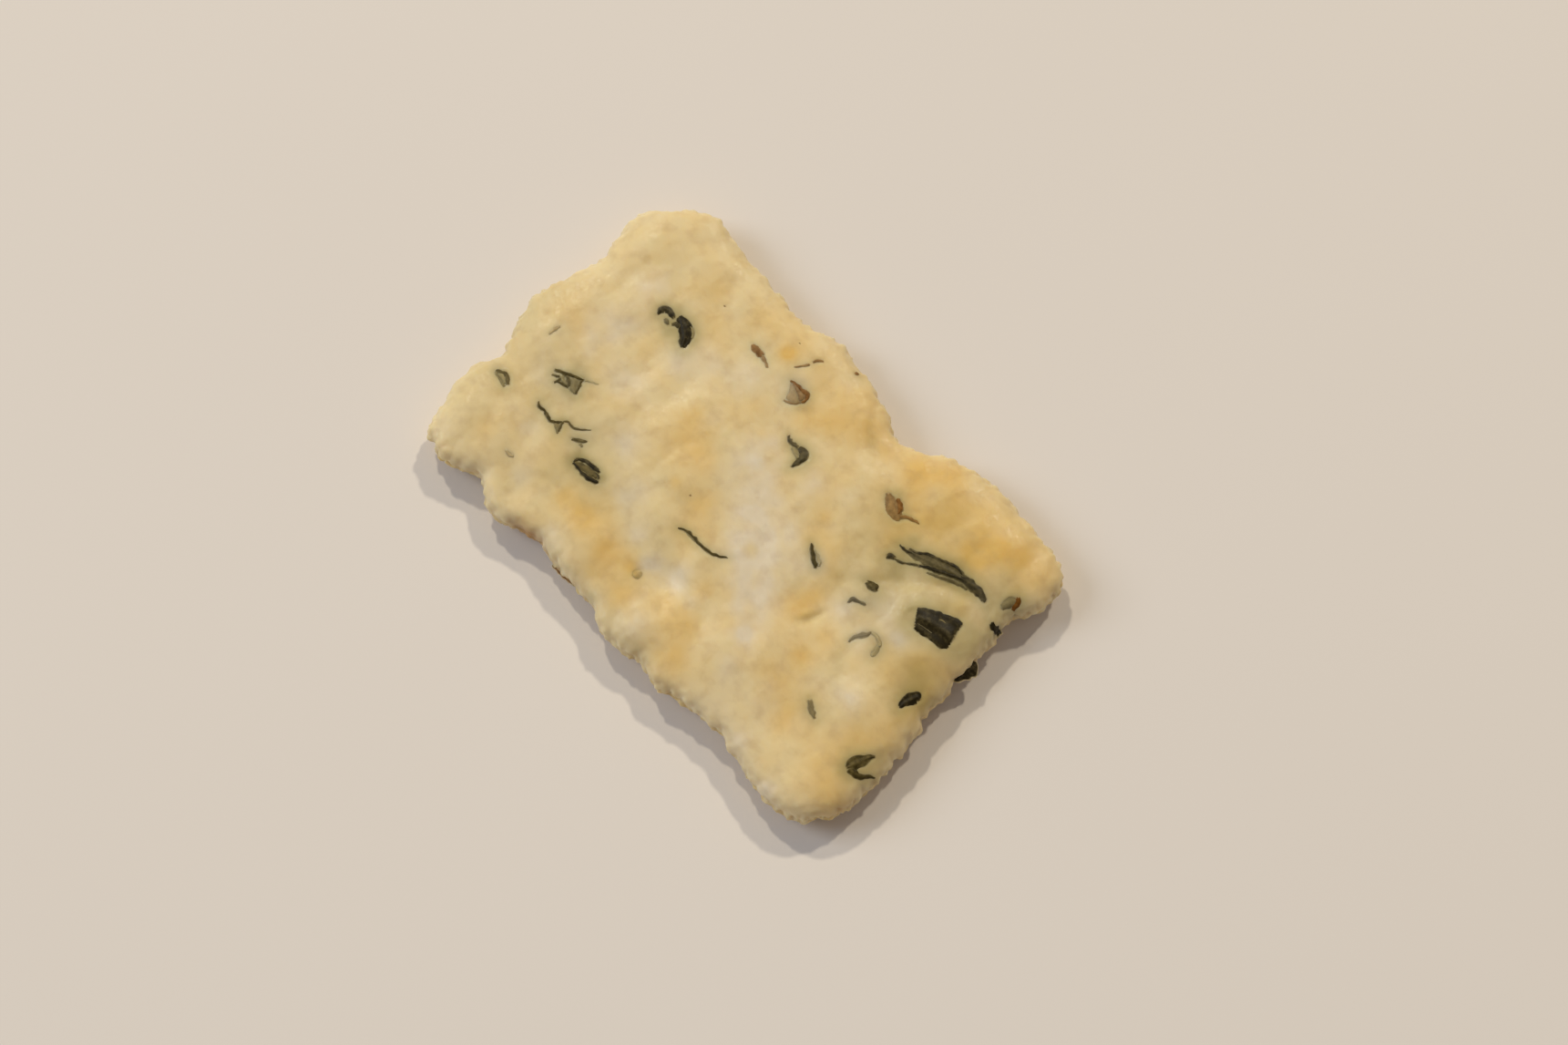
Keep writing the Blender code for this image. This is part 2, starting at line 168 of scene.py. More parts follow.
def grid_of(x, y):
    """The grid coordinates of a place, found by stepping towards it."""
    u = np.asarray(x, float) / (LENGTH / 2.0)
    v = np.asarray(y, float) / (WIDTH / 2.0)
    for _ in range(SEARCH_STEPS):
        found_x, found_y = place(u, v)
        u = np.clip(u + (x - found_x) / (LENGTH / 2.0), -1.0, 1.0)
        v = np.clip(v + (y - found_y) / (WIDTH / 2.0), -1.0, 1.0)
    return u, v


def fullness(u, v):
    """1 over the faces, falling to 0 at the rim along a round shoulder."""
    return np.sqrt((1.0 - np.abs(u) ** RIM_SHARPNESS_X) * (1.0 - np.abs(v) ** RIM_SHARPNESS_Y))


def upper_face(u, v):
    """Height of the upper face: the slab, its random puffs and knobs, and the puffs with a set place."""
    x, y = place(u, v)
    relief = PUFF_HEIGHT * puffed(ripples(x, y, PUFF_SPACING, PUFF_SEED))
    relief = relief + KNOB_HEIGHT * ripples(x, y, KNOB_SPACING, KNOB_SEED)
    relief = relief + PLACED_PUFF_SHARE * mounds(x, y, UPPER_PUFFS)
    rise = (THICKNESS - RIM_BAND) / 2.0 + relief
    return UNDERSIDE_LIFT + (THICKNESS + RIM_BAND) / 2.0 + fullness(u, v) * rise


def under_face(u, v):
    """Height of the underside: shallow hollows between flats, which baked level on the sheet at height 0."""
    x, y = place(u, v)
    drop = (THICKNESS - RIM_BAND) / 2.0 - HOLLOW_DEPTH * ripples(x, y, PUFF_SPACING, HOLLOW_SEED)
    return np.maximum(UNDERSIDE_LIFT + (THICKNESS - RIM_BAND) / 2.0 - fullness(u, v) * drop, 0.0)


# ---- marks of the upper face, by place ----

# Creases: depth, half breadth, and the line that the crease follows
CREASES = [
    (0.16, 0.6, [(11.6, 0.7), (13.5, 2.2), (14.3, 3.2), (15.4, 4.3), (17.6, 6.2), (19.2, 7.4), (20.8, 8),
        (22.4, 8.1), (23.8, 7.5)]),
    (0.08, 0.8, [(11.6, 0.5), (13.6, -0.4), (15.4, -0.5), (16.6, -1.9), (17, -3.9), (18.5, -5.9), (20.1, -7.1),
        (22.3, -8.4)]),
    (0.18, 0.35, [(12.1, -4.4), (12.6, -3.4), (13, -2)]),
    (0.08, 0.45, [(2.9, 13.4), (3.6, 12.6), (4.5, 11.8), (5.5, 11.5), (6, 11.9)]),
    (0.07, 0.6, [(-2.6, -12.2), (-1.2, -11.2), (0.2, -9.6), (2, -9), (4, -9.6), (5.2, -10.8)]),
    (0.05, 0.5, [(-0.4, -14.8), (1.4, -15.7), (3.3, -16.1), (5.6, -16.4), (7.1, -16.3)]),
    (0.08, 0.45, [(-13.6, -11.8), (-11.4, -11.4), (-9.6, -12.2)]),
]

# Toasted places, where a puff came nearer the heat, and two broad painted shadows at the far right corner:
# place, reach, strength
TOASTED_AND_SHADED = [
    (-8.4, 1.6, 1.6, 0.45), (-7.7, -0.7, 1.3, 0.4), (-4.7, -0.2, 1.9, 0.45), (-1.6, -3.6, 1.8, 0.35),
    (-4.6, -3.6, 0.6, 0.5), (-10.3, -11.5, 1.1, 0.5), (-7.8, -11.5, 1.6, 0.75), (-4, -11.7, 1.5, 0.7),
    (-1.2, -11.6, 0.9, 0.8), (-3.4, -13.9, 1.5, 0.35), (-0.1, -14.2, 1.6, 0.4), (5.9, -12.1, 1.9, 0.52),
    (3.1, -11.3, 1.3, 0.45), (4.5, -8.7, 1.1, 0.3), (7.4, -14.6, 1.5, 0.5), (-6.7, 12.2, 0.7, 0.85),
    (-7.6, 13.6, 2.4, 0.45), (-10.9, 13.4, 1.6, 0.4), (-15.9, 11.8, 1.8, 0.4), (-24.3, 1.1, 1.8, 0.22),
    (-20, -13.1, 1.5, 0.35), (0.4, 11.7, 2.7, 0.5), (4.3, 12.4, 2.4, 0.45), (-1.3, 8.8, 1.5, 0.4),
    (11.3, 14.7, 1.6, 1), (9.2, 12.8, 1.6, 0.85), (14.9, 13.4, 2.4, 0.55), (12.1, 10.5, 2.1, 0.45),
    (9, 8.4, 2.1, 0.25), (19, 12.6, 2.1, 0.6), (22.3, 13.9, 1.9, 0.55), (18.5, 10.9, 1.6, 0.55),
    (14.7, -6.3, 1.2, 0.85), (11.1, -4, 1.6, 0.6), (11.2, -1.9, 1.3, 0.5), (14.3, -9.2, 2.1, 0.32),
    (14.8, -3.7, 1, 0.4), (21.9, 0.4, 1.5, 0.65), (24.1, -1.1, 1.5, 0.65), (21.7, -2.1, 1.3, 0.4),
    (24.3, -7.9, 2.7, 0.44), (22.3, -11.4, 2.7, 0.34), (25.6, -13.5, 2.4, 0.38), (17.7, -11.3, 1.9, 0.3),
    (24.2, 2.1, 1.3, 0.4), (21.1, 6.7, 1.1, 0.45), (6.8, 3.9, 0.7, 0.4), (24.7, -3.9, 1.6, 0.5),
    # (18.9, 14.4) and (23.8, 13) are painted shadow, not toast
    (-11.1, -15.9, 1.1, 0.35), (18.9, 14.4, 3.5, 0.35), (23.8, 13, 2.1, 0.4), (15, 11.6, 3.2, 0.2),
    (0.4, -13.6, 1.1, 0.2), (5.1, 6.6, 1.1, 0.15), (5.3, -7.8, 1.9, 0.22), (14.5, -3.4, 1.9, 0.2),
    (23.1, 1.1, 1.8, 0.25), (3.2, 16.9, 3.2, 0.2), (-1.6, 17, 2.4, 0.15), (11.8, 6.1, 2.3, 0.48),
    (8.3, 2.4, 1.9, 0.22), (0.8, 9.7, 2.1, 0.18), (4.6, 6.3, 1.9, 0.22), (-3.3, 13.2, 1.8, 0.2),
    (14.6, 9.4, 2.7, 0.32), (-9.3, -12.3, 3.2, 0.12),
]

# Milky places, where the dough puffed thin and shows its white foam: place, reach, strength
MILKY = [
    (-19.8, 2, 1.9, 0.56), (-14.5, 0, 1.8, 0.62), (-10.9, -3.9, 1.6, 0.62), (-6.6, -7, 1.6, 0.75),
    (-3.4, -9, 1.1, 0.62), (-19, -0.4, 1, 0.38), (-20.1, 7.9, 1.5, 0.5), (-11, 6.2, 1.6, 0.62),
    (-7.4, 7.9, 1.6, 0.62), (-4, 10.3, 1.6, 0.5), (-13.2, 4.4, 1.1, 0.38), (-17.3, -9.5, 1.1, 0.5),
    (-14.5, -12.6, 1.1, 0.5), (-18, -3.9, 1.5, 0.5), (-13.6, -6.8, 1.1, 0.44), (-8.7, -15.1, 1, 0.44),
    (-0.9, 2.9, 2.1, 0.81), (2.2, 0, 2.4, 1), (5.3, -2.9, 2.4, 1), (7.8, -5.8, 2.1, 0.94),
    (10, -8.4, 1.5, 0.81), (5.7, -0.1, 1.6, 0.5), (9.2, 0, 1.3, 0.5), (4, 5.4, 1.5, 0.44),
    (-1.9, 5.5, 1.1, 0.5), (-0.5, -10.1, 1.1, 1), (2.1, -9.2, 1.2, 1), (4.8, -9.6, 0.8, 0.62),
    (2.9, -14.8, 1.1, 0.5), (10.8, -11.8, 1.1, 0.5), (16.1, 1.7, 1.8, 0.75), (19.3, 0.7, 1.3, 0.75),
    (13.8, -0.5, 1.3, 0.5), (16.8, -1.7, 1.3, 0.5), (20.2, -6, 1.5, 0.69), (20.8, -17, 1.3, 0.62),
    (16.4, -15.5, 1.1, 0.5), (21.7, 8.3, 1, 0.31), (-20.1, -4.8, 1.6, 0.25), (-19, 4.1, 1.8, 0.31),
    (-12.6, 4.4, 1.3, 0.31), (-9.3, -4.7, 1.3, 0.31), (3, -4.1, 1.1, 0.25), (9.1, -3.8, 0.8, 0.25),
    (1.6, -13.6, 0.8, 0.3), (13.1, -14.5, 2.9, 0.2), (15.9, -11.1, 2.7, 0.16),
]

# Seaweed of the upper face, by kind: how far dough covers it, its height over the dough, its ridges, and its line,
# as place X and Y with the breadth there
SEAWEED = {"black": [
    (0.05, 0.06, 1, [(-17.5, 6.28, 0.24), (-17.58, 6.76, 0.56), (-17.36, 7.16, 0.6), (-16.78, 7.24, 0.64),
        (-16.18, 7.08, 0.32)]),
    (0.3, 0.04, 1, [(-16.82, 6.54, 0.32), (-16.46, 6.44, 0.4), (-16.12, 6.28, 0.24)]),
    (0, 0.08, 2, [(-16.08, 7.54, 0.48), (-15.46, 7.42, 1.04), (-14.7, 7.06, 1.2), (-14.12, 6.56, 1.08),
        (-13.8, 6, 0.8), (-13.6, 5.7, 0.4)]),
    (0.1, 0.05, 1, [(-15.98, 6.54, 0.24), (-15.68, 6.84, 0.48), (-15.26, 7, 0.64)]),
    (0.05, 0.05, 1, [(-12.22, -8.74, 0.16), (-12.12, -8.3, 0.28), (-11.66, -7.94, 0.4), (-10.94, -7.84, 0.48),
        (-10.3, -7.74, 0.44), (-9.82, -7.74, 0.24)]),
    (0, 0.06, 1, [(-12.2, -8.8, 0.2), (-11.58, -8.78, 0.28), (-10.88, -8.86, 0.36), (-10.16, -8.76, 0.44),
        (-9.5, -8.58, 0.44), (-9.22, -8.4, 0.24)]),
    (0.1, 0.04, 1, [(-10.06, -7.98, 0.16), (-9.74, -8.04, 0.24), (-9.42, -8.12, 0.24)]),
    (0.15, 0.05, 1, [(-1, 6.92, 0.24), (-0.6, 6.6, 0.4), (-0.06, 6.58, 0.4), (0.54, 6.74, 0.32)]),
    (0.12, 0.05, 1, [(0.48, 6.68, 0.4), (1.06, 6.68, 0.8), (1.48, 6.34, 0.88), (1.52, 5.7, 0.64),
        (1.4, 4.92, 0.24)]),
    (0.62, 0.03, 1, [(0.08, 6.4, 0.24), (0.64, 6.2, 0.56), (1.26, 5.94, 0.4)]),
    (0.2, 0.04, 2, [(13.94, 7.04, 0.48), (15.18, 7.4, 0.88), (16.34, 7.82, 1.12), (17.46, 8.28, 1.2),
        (18.56, 8.66, 1.04), (19.42, 8.7, 0.64)]),
    (0.05, 0.05, 1, [(13.12, 6.94, 0.16), (13.9, 6.98, 0.28), (14.68, 7.34, 0.32), (15.38, 7.96, 0.34),
        (16.34, 8.36, 0.34), (17.3, 8.78, 0.34), (18.26, 9.06, 0.36), (19, 9, 0.24)]),
    (0, 0.08, 1, [(15.7, 6.76, 0.2), (16.38, 7.2, 0.36), (17.16, 7.56, 0.48), (17.96, 8.02, 0.48),
        (18.76, 8.46, 0.4), (19.46, 8.68, 0.24)]),
    (0.1, 0.05, 1, [(13.8, 5.74, 0.16), (14.4, 5.94, 0.24), (15, 6.36, 0.2), (15.74, 6.84, 0.24)]),
    (0.25, 0.03, 1, [(16.6, 6.78, 0.16), (17.52, 7.22, 0.28), (18.52, 7.8, 0.32), (19.5, 8.2, 0.32),
        (20.24, 8.34, 0.16)]),
    (0.1, 0.07, 2, [(18.78, 8.54, 0.4), (19.56, 8.78, 0.72), (20.38, 8.88, 0.88), (21.18, 8.88, 0.84),
        (21.78, 8.78, 0.56), (22.1, 8.64, 0.24)]),
    (0.1, 0.05, 1, [(13.14, 5.26, 0.32), (13.4, 5.62, 0.64), (13.82, 5.82, 0.4)]),
    (0, 0.08, 2, [(19.1, 3.06, 2.02), (19.52, 3.36, 2.26), (20.3, 3.7, 2.58), (21.1, 4.04, 2.82),
        (21.9, 4.32, 2.98), (22.6, 4.52, 2.74)]),
    (0.3, 0.05, 1, [(16.58, -2.5, 0.16), (16.52, -2.06, 0.32), (16.72, -1.5, 0.4), (17.12, -1, 0.44),
        (17.3, -0.46, 0.2)]),
    (0.2, 0.05, 1, [(13.9, -0.04, 0.16), (13.92, 0.38, 0.38), (14.26, 0.58, 0.38), (14.74, 0.74, 0.24),
        (15.14, 0.96, 0.12)]),
    (0, 0.07, 1, [(23.7, 7.9, 0.4), (24.12, 7.84, 0.8), (24.5, 7.9, 0.8), (24.94, 7.88, 0.4)]),
    (0, 0.06, 2, [(23.82, -3.44, 0.2), (23.78, -2.82, 0.8), (23.92, -2.18, 1.12), (24.14, -1.62, 1.04),
        (24.52, -1.5, 0.4)]),
], "green": [
    (0.55, 0.03, 1, [(-14.74, 7.64, 0.16), (-14.04, 7.38, 0.24), (-13.64, 6.8, 0.24)]),
    (0.1, 0.05, 1, [(-23.54, -7.9, 0.24), (-23.06, -7.66, 0.36), (-22.54, -7.52, 0.44), (-22.04, -7.78, 0.44),
        (-21.62, -8.1, 0.28)]),
    (0.4, 0.03, 1, [(-23.48, -7.98, 0.2), (-22.88, -8.14, 0.24), (-22.18, -8.32, 0.24), (-21.7, -8.46, 0.16)]),
    (0.62, 0.02, 1, [(-23.16, -7.9, 0.24), (-22.46, -7.96, 0.4), (-21.88, -8.14, 0.24)]),
    (0, 0.06, 1, [(-19.94, -4.04, 0.24), (-19.28, -3.8, 0.32), (-18.58, -3.44, 0.36), (-17.94, -3.14, 0.32),
        (-17.32, -2.84, 0.2)]),
    (0.15, 0.04, 1, [(-19.72, -4.56, 0.14), (-19.36, -4.4, 0.2), (-19.06, -4.16, 0.2)]),
    (0.1, 0.04, 1, [(-19.02, -4.92, 0.24), (-18.88, -4.6, 0.28), (-18.94, -4.22, 0.24)]),
    (0.05, 0.05, 1, [(-18.94, -4.66, 0.2), (-18.38, -4.5, 0.28), (-17.76, -4.3, 0.24)]),
    (0.15, 0.04, 1, [(-18.72, -3.66, 0.32), (-18.2, -3.88, 0.36), (-17.82, -4.24, 0.28)]),
    (0.55, 0.02, 1, [(-19.04, -4, 0.32), (-18.54, -4.24, 0.4), (-18, -4.3, 0.24)]),
    (0.42, 0.03, 1, [(-18.08, -3.24, 0.72), (-17.68, -3.7, 0.8), (-17.26, -4.14, 0.64), (-16.94, -4.28, 0.32)]),
    (0.05, 0.05, 1, [(-17.48, -2.96, 0.24), (-17.26, -3.38, 0.28), (-17.06, -3.78, 0.28),
        (-16.82, -4.28, 0.24)]),
    (0.72, 0.02, 1, [(-17.32, -2.84, 0.12), (-16.84, -2.5, 0.12), (-16.16, -2.14, 0.08)]),
    (0, 0.05, 1, [(-18.6, -7.12, 0.2), (-18.18, -7.42, 0.24), (-17.62, -7.36, 0.32), (-17.06, -7.48, 0.34),
        (-16.5, -7.6, 0.32), (-15.96, -7.32, 0.26), (-15.64, -6.84, 0.18)]),
    (0.35, 0.03, 1, [(-16.12, -7.4, 0.24), (-15.64, -7.56, 0.56), (-15.3, -7.86, 0.32), (-15.12, -8.06, 0.12)]),
    (0.1, 0.04, 1, [(-15.64, -6.9, 0.2), (-15.44, -7.34, 0.24), (-15.2, -7.88, 0.2)]),
    (0.12, 0.04, 1, [(-15.68, -6.82, 0.16), (-15.26, -6.54, 0.22), (-14.72, -6.6, 0.24), (-14.24, -6.38, 0.2),
        (-13.76, -5.94, 0.14), (-13.3, -5.48, 0.08)]),
    (0.1, 0.04, 1, [(-13.9, -7.44, 0.28), (-13.56, -7.1, 0.4), (-13.14, -6.84, 0.44), (-12.8, -6.48, 0.12)]),
    (0.4, 0.03, 1, [(-13.24, -7.16, 0.32), (-12.9, -7.16, 0.28), (-12.7, -7.24, 0.12)]),
    (0.15, 0.03, 1, [(-12.04, -8.68, 0.32), (-11.5, -8.52, 0.64), (-10.84, -8.34, 0.72), (-10.12, -8.24, 0.64),
        (-9.62, -8.16, 0.32)]),
    (0, 0.05, 1, [(-1.3, -6.18, 0.1), (-0.8, -5.88, 0.22), (-0.12, -5.76, 0.3), (0.64, -5.8, 0.3),
        (1.48, -5.8, 0.3), (2.36, -5.66, 0.3), (3.08, -5.34, 0.26), (3.78, -4.78, 0.1)]),
    (0.35, 0.03, 1, [(-1.22, -6.04, 0.1), (-0.56, -5.9, 0.12), (0.16, -5.9, 0.12), (0.76, -5.9, 0.1)]),
    (0, 0.06, 1, [(7.72, 1.42, 0.12), (8.22, 1.06, 0.32), (8.76, 0.66, 0.44), (9.32, 0.34, 0.48),
        (9.7, 0.08, 0.2)]),
    (0.6, 0.02, 1, [(8.38, 1.2, 0.12), (9.02, 0.92, 0.32), (9.56, 0.64, 0.28), (9.78, 0.4, 0.12)]),
    (0.55, 0.02, 1, [(19.36, 2.8, 0.12), (19.92, 2.98, 0.28), (20.56, 3.12, 0.32), (21.24, 3.24, 0.2)]),
    (0.3, 0.02, 1, [(20.48, 4.54, 0.24), (20.88, 4.7, 0.44), (21.36, 4.8, 0.24)]),
    (0.72, 0.02, 1, [(17.3, -0.52, 0.24), (17.84, -0.44, 0.36), (18.46, -0.6, 0.32), (18.8, -0.94, 0.28)]),
    (0.6, 0.02, 1, [(18.64, -0.88, 0.32), (18.78, -1.28, 0.48), (18.88, -1.76, 0.48), (18.94, -1.98, 0.24)]),
    (0.05, 0.06, 1, [(13.62, 2.36, 0.4), (14.12, 2.48, 0.84), (14.52, 2.54, 0.88), (14.9, 2.34, 0.48)]),
    (0.35, 0.05, 1, [(23.42, 9.4, 0.48), (23.46, 9.9, 0.88), (23.62, 10.4, 1.04), (23.88, 10.82, 0.64)]),
    (0.05, 0.06, 2, [(24.56, -10.4, 0.32), (24.66, -9.74, 1.12), (24.92, -9.06, 1.12), (25.16, -8.42, 0.64),
        (25.52, -7.84, 0.16)]),
    (0, 0.06, 1, [(24.72, -10.22, 0.64), (25.38, -10.2, 0.64), (25.96, -9.94, 0.52), (26.36, -9.4, 0.36),
        (26.9, -8.9, 0.12)]),
    (0.3, 0.04, 1, [(17.96, -8.5, 0.28), (18.44, -8.84, 0.56), (18.94, -9.14, 0.56), (19.54, -9.34, 0.24)]),
], "brown": [
    (0.12, 0.05, 1, [(-9.54, 10.46, 0.4), (-9.08, 10.38, 0.64), (-8.5, 10.34, 0.64), (-8.02, 10.4, 0.4)]),
    (0.3, 0.04, 1, [(-8.18, 10.36, 0.36), (-7.58, 10.2, 0.36), (-7.24, 10.04, 0.32), (-6.88, 9.88, 0.24)]),
    (0.25, 0.03, 1, [(-5.34, 11.68, 0.12), (-5, 12.2, 0.2), (-4.7, 12.58, 0.24), (-4.58, 12.92, 0.18)]),
    (0.2, 0.04, 1, [(-4.54, 13.22, 0.16), (-4.42, 13.56, 0.3), (-4.16, 13.88, 0.24), (-3.94, 14, 0.12)]),
    (0.5, 0.02, 1, [(-4.28, 10.52, 0.4), (-3.72, 10.2, 0.96), (-3.3, 9.9, 1.62), (-2.92, 9.56, 1.3),
        (-2.72, 9.38, 0.4)]),
    (0.28, 0.03, 1, [(-4.36, 10.58, 0.4), (-3.62, 10.44, 0.8), (-2.98, 10.22, 0.96), (-2.64, 9.84, 0.64)]),
    (0.08, 0.05, 1, [(-4.66, 10.58, 0.24), (-4.02, 10.66, 0.4), (-3.24, 10.64, 0.48), (-2.62, 10.68, 0.48),
        (-2.32, 10.22, 0.32), (-2.44, 9.78, 0.16)]),
    (0.3, 0.03, 1, [(-3.76, 8.84, 0.16), (-3.28, 9, 0.24), (-2.78, 9.32, 0.24), (-2.48, 9.82, 0.2)]),
    (0.1, 0.05, 1, [(-1.26, 15.28, 0.2), (-1.2, 15.52, 0.48), (-1, 15.6, 0.24)]),
    (0.55, 0.02, 1, [(-22.76, -2.2, 0.12), (-22.7, -1.5, 0.32), (-22.62, -0.9, 0.24)]),
    (0.6, 0.02, 1, [(-17.18, -12.38, 0.12), (-16.64, -12.38, 0.32), (-16.24, -12.2, 0.16)]),
    (0.3, 0.03, 1, [(-14.1, 11.2, 0.1), (-13.86, 11.26, 0.1)]),
    (0.3, 0.03, 1, [(-2.86, -3.38, 0.08), (-2.66, -3.34, 0.08)]),
    (0.35, 0.02, 1, [(-6.78, 13.64, 0.1), (-6.6, 13.7, 0.1)]),
    (0.28, 0.03, 1, [(9.04, 9.54, 0.4), (9.64, 9.18, 0.96), (10.36, 8.82, 1.38), (11.06, 8.58, 1.04),
        (11.54, 8.46, 0.4)]),
    (0.05, 0.06, 1, [(9.94, 9.74, 0.32), (10.4, 9.56, 0.52), (10.84, 9.2, 0.48), (11.12, 8.7, 0.4)]),
    (0.25, 0.03, 1, [(8.96, 9.46, 0.16), (9.42, 9.06, 0.24), (9.86, 8.54, 0.2)]),
    (0.22, 0.04, 1, [(11.1, 8.44, 0.4), (11.52, 8.94, 0.4), (12.04, 9.26, 0.34), (12.6, 9.44, 0.32),
        (13, 9.56, 0.12)]),
    (0, 0.06, 1, [(23.72, 11.18, 0.32), (23.94, 10.88, 0.64), (24.12, 10.44, 0.72), (24.32, 10.02, 0.32)]),
    (0.72, 0.03, 1, [(-0.62, -12.02, 0.48), (-0.66, -11.6, 0.84), (-0.7, -11.2, 0.48)]),
]}

# Seaweed that sticks out of the rim: kind, level as a share of the thickness, slope outwards, and its row
RIM_SEAWEED = [
    ("black", 0.58, -0.25, (0, 0.08, 1, [(25.02, 2.08, 0.24), (25.12, 2.76, 0.88), (25.16, 3.48, 1.38),
        (25.14, 4.12, 1.38), (24.82, 4.56, 0.56)])),
    ("brown", 0.46, -0.5, (0.1, 0.05, 1, [(-7.04, -16.1, 0.12), (-6.32, -16.14, 0.16),
        (-5.38, -16.18, 0.12), (-4.62, -16.06, 0.2), (-3.54, -15.76, 0.2)])),
]

# Places that seaweed inside the dough tints, and darker places that are painted shade: broad ones over the
# right end as a painted shadow, and small ones along a groove by the near rim: place, reach, strength
STAINED_AND_SHADED = [
    (-15.6, 5.7, 0.8, 0.5), (-18.7, -2.4, 1, 0.3), (-12.2, -7.9, 0.6, 0.5), (1.4, 6.1, 0.9, 0.35),
    (9.8, 10.1, 0.7, 0.35), (13.7, 8.2, 0.6, 0.35), (-19.1, -5.7, 2.7, 0.1), (-13.4, -6.5, 2.9, 0.14),
    # (15.6, 10.4) and (24.1, -1.1) are a painted shadow over the right end
    (15.6, 10.4, 3.9, 0.2), (24.1, -1.1, 3.4, 0.18), (14.9, 5, 1.1, 0.22), (11.7, 0.9, 1.3, 0.15),
    (21, 7.3, 1.3, 0.22), (24.2, 6.5, 1.1, 0.22), (18.3, 3.5, 0.6, 0.25), (22.4, -0.1, 1.1, 0.15),
    (2.1, 7.2, 1.3, 0.12), (26, -9.5, 2.9, 0.08), (22.3, 11.4, 1.6, 0.15), (-14.4, -14.3, 1.6, 0.12),
    (-1.4, -8.7, 2.1, 0.14), (23.3, -0.2, 2.4, 0.18), (20.1, 7.2, 1.5, 0.16), (21.1, 10, 1.9, 0.12),
    (6.1, -17.8, 2.1, 0.12), (10.4, -18, 1.8, 0.12), (17.8, -17.9, 1.8, 0.12), (-17, -5.4, 4.8, 0.12),
    (-9.9, -8, 2.9, 0.12), (-23.2, -10.7, 3.2, 0.14), (11.8, 5.2, 3.2, 0.14), (17.1, 4.6, 3.2, 0.12),
    # (0.4, -16.4), (2.8, -17) and (5.1, -17) are painted shade in a groove by the near rim
    (15.8, 1.4, 1.9, 0.1), (19.3, 0.7, 2.3, 0.08), (0.4, -16.4, 0.7, 0.06), (2.8, -17, 0.7, 0.06),
    (5.1, -17, 0.6, 0.06), (-2, -15.8, 0.6, 0.2), (-7.7, -16, 0.7, 0.08), (-23.9, -7.5, 2.4, 0.14),
    (-26.9, -3.4, 2.4, 0.12), (-26.4, 0.8, 2.7, 0.14), (-8.4, -9.9, 2.4, 0.12), (-12.4, -10.6, 1.9, 0.1),
    (15, 2.3, 2.7, 0.1), (18.2, -1, 2.3, 0.08), (5.3, -7.8, 2.3, 0.1), (-8.7, -15.1, 1.9, 0.05),
    (-12.3, -12, 2.1, 0.05), (-3.9, -4.7, 3.5, 0.06), (11.2, 5.8, 2.4, 0.08), (13.5, 4.3, 2.9, 0.12),
    (-26.7, -3.5, 3.2, 0.12), (18.1, 5.5, 2.3, 0.2), (-8.8, -8, 4, 0.08), (18.9, -8.1, 3.4, 0.09),
    (-1.1, -15.1, 3.5, 0.07),
]

# Pieces on the underside, drawn as for the solid
UNDERSIDE_PIECES, UNDERSIDE_TRIES = 9, 400
UNDERSIDE_REACH = np.array([0.42, 0.40])
UNDERSIDE_ROOM, UNDERSIDE_APART = 0.34, 4.5
UNDERSIDE_LENGTHS, UNDERSIDE_BREADTHS = (1.6, 4.2), (0.7, 1.5)


# ---- settings ----


def length_setting(name, description, millimetres):
    """A length, which Blender keeps in metres."""
    return bpy.props.FloatProperty(
        name=name, description=description, default=millimetres * MM, min=0.0, precision=5, unit="LENGTH"
    )


def colour_setting(name, description, code):
    """A colour, from its sRGB hex."""
    return bpy.props.FloatVectorProperty(
        name=name, description=description, subtype="COLOR", size=3, min=0.0, max=1.0, default=linear(code)
    )


def angle_setting(name, description, degrees):
    """An angle, which Blender keeps in radians."""
    return bpy.props.FloatProperty(name=name, description=description, default=np.radians(degrees), subtype="ANGLE")


def power_setting(name, description, value):
    """The power of a lamp."""
    return bpy.props.FloatProperty(name=name, description=description, default=value, min=0.0, unit="POWER")


class DoughSettings(bpy.types.PropertyGroup):
    """Sizes and colours of the baked dough."""

    crumb_height: length_setting("Crumb height", "Height of the crumbs on the faces", 0.02)
    rim_crumb_height: length_setting("Rim crumb height", "Height of the crumbs along the rim", 0.46)
    crumb_spacing: length_setting("Crumb spacing", "Usual distance between crumbs", 1.15)
    blister_height: length_setting("Blister height", "Height of the small blisters", 0.03)
    cream: colour_setting("Cream", "Plain baked dough", "E7D19E")
    # This golden colour also paints shade: a shadow at the far right corner, and the creases
    toasted: colour_setting("Toasted", "Dough that browned on a puff", "E4BC68")
    milky: colour_setting("Milky", "Thin puffed dough over white foam", "E6D6B8")
    # This olive colour also paints shade: a shadow over the right end, the creases, and a groove by the near rim
    stained: colour_setting("Stained", "Dough tinted by the seaweed in it", "A3945C")
    scorched: colour_setting("Scorched", "Dough that caught the most heat, low on the rim", "A5713A")


class SeaweedSettings(bpy.types.PropertyGroup):
    """Sizes and colours of the chopped seaweed."""

    thickness: length_setting("Thickness", "Thickness of a piece of seaweed", 0.14)
    ridge_height: length_setting("Ridge height", "Height of the folds in a piece", 0.04)
    black: colour_setting("Black", "Thick dried seaweed", "282008")
    green: colour_setting("Green", "Thin dried seaweed", "463A14")
    brown: colour_setting("Brown", "Seaweed that browned in the heat", "76480E")


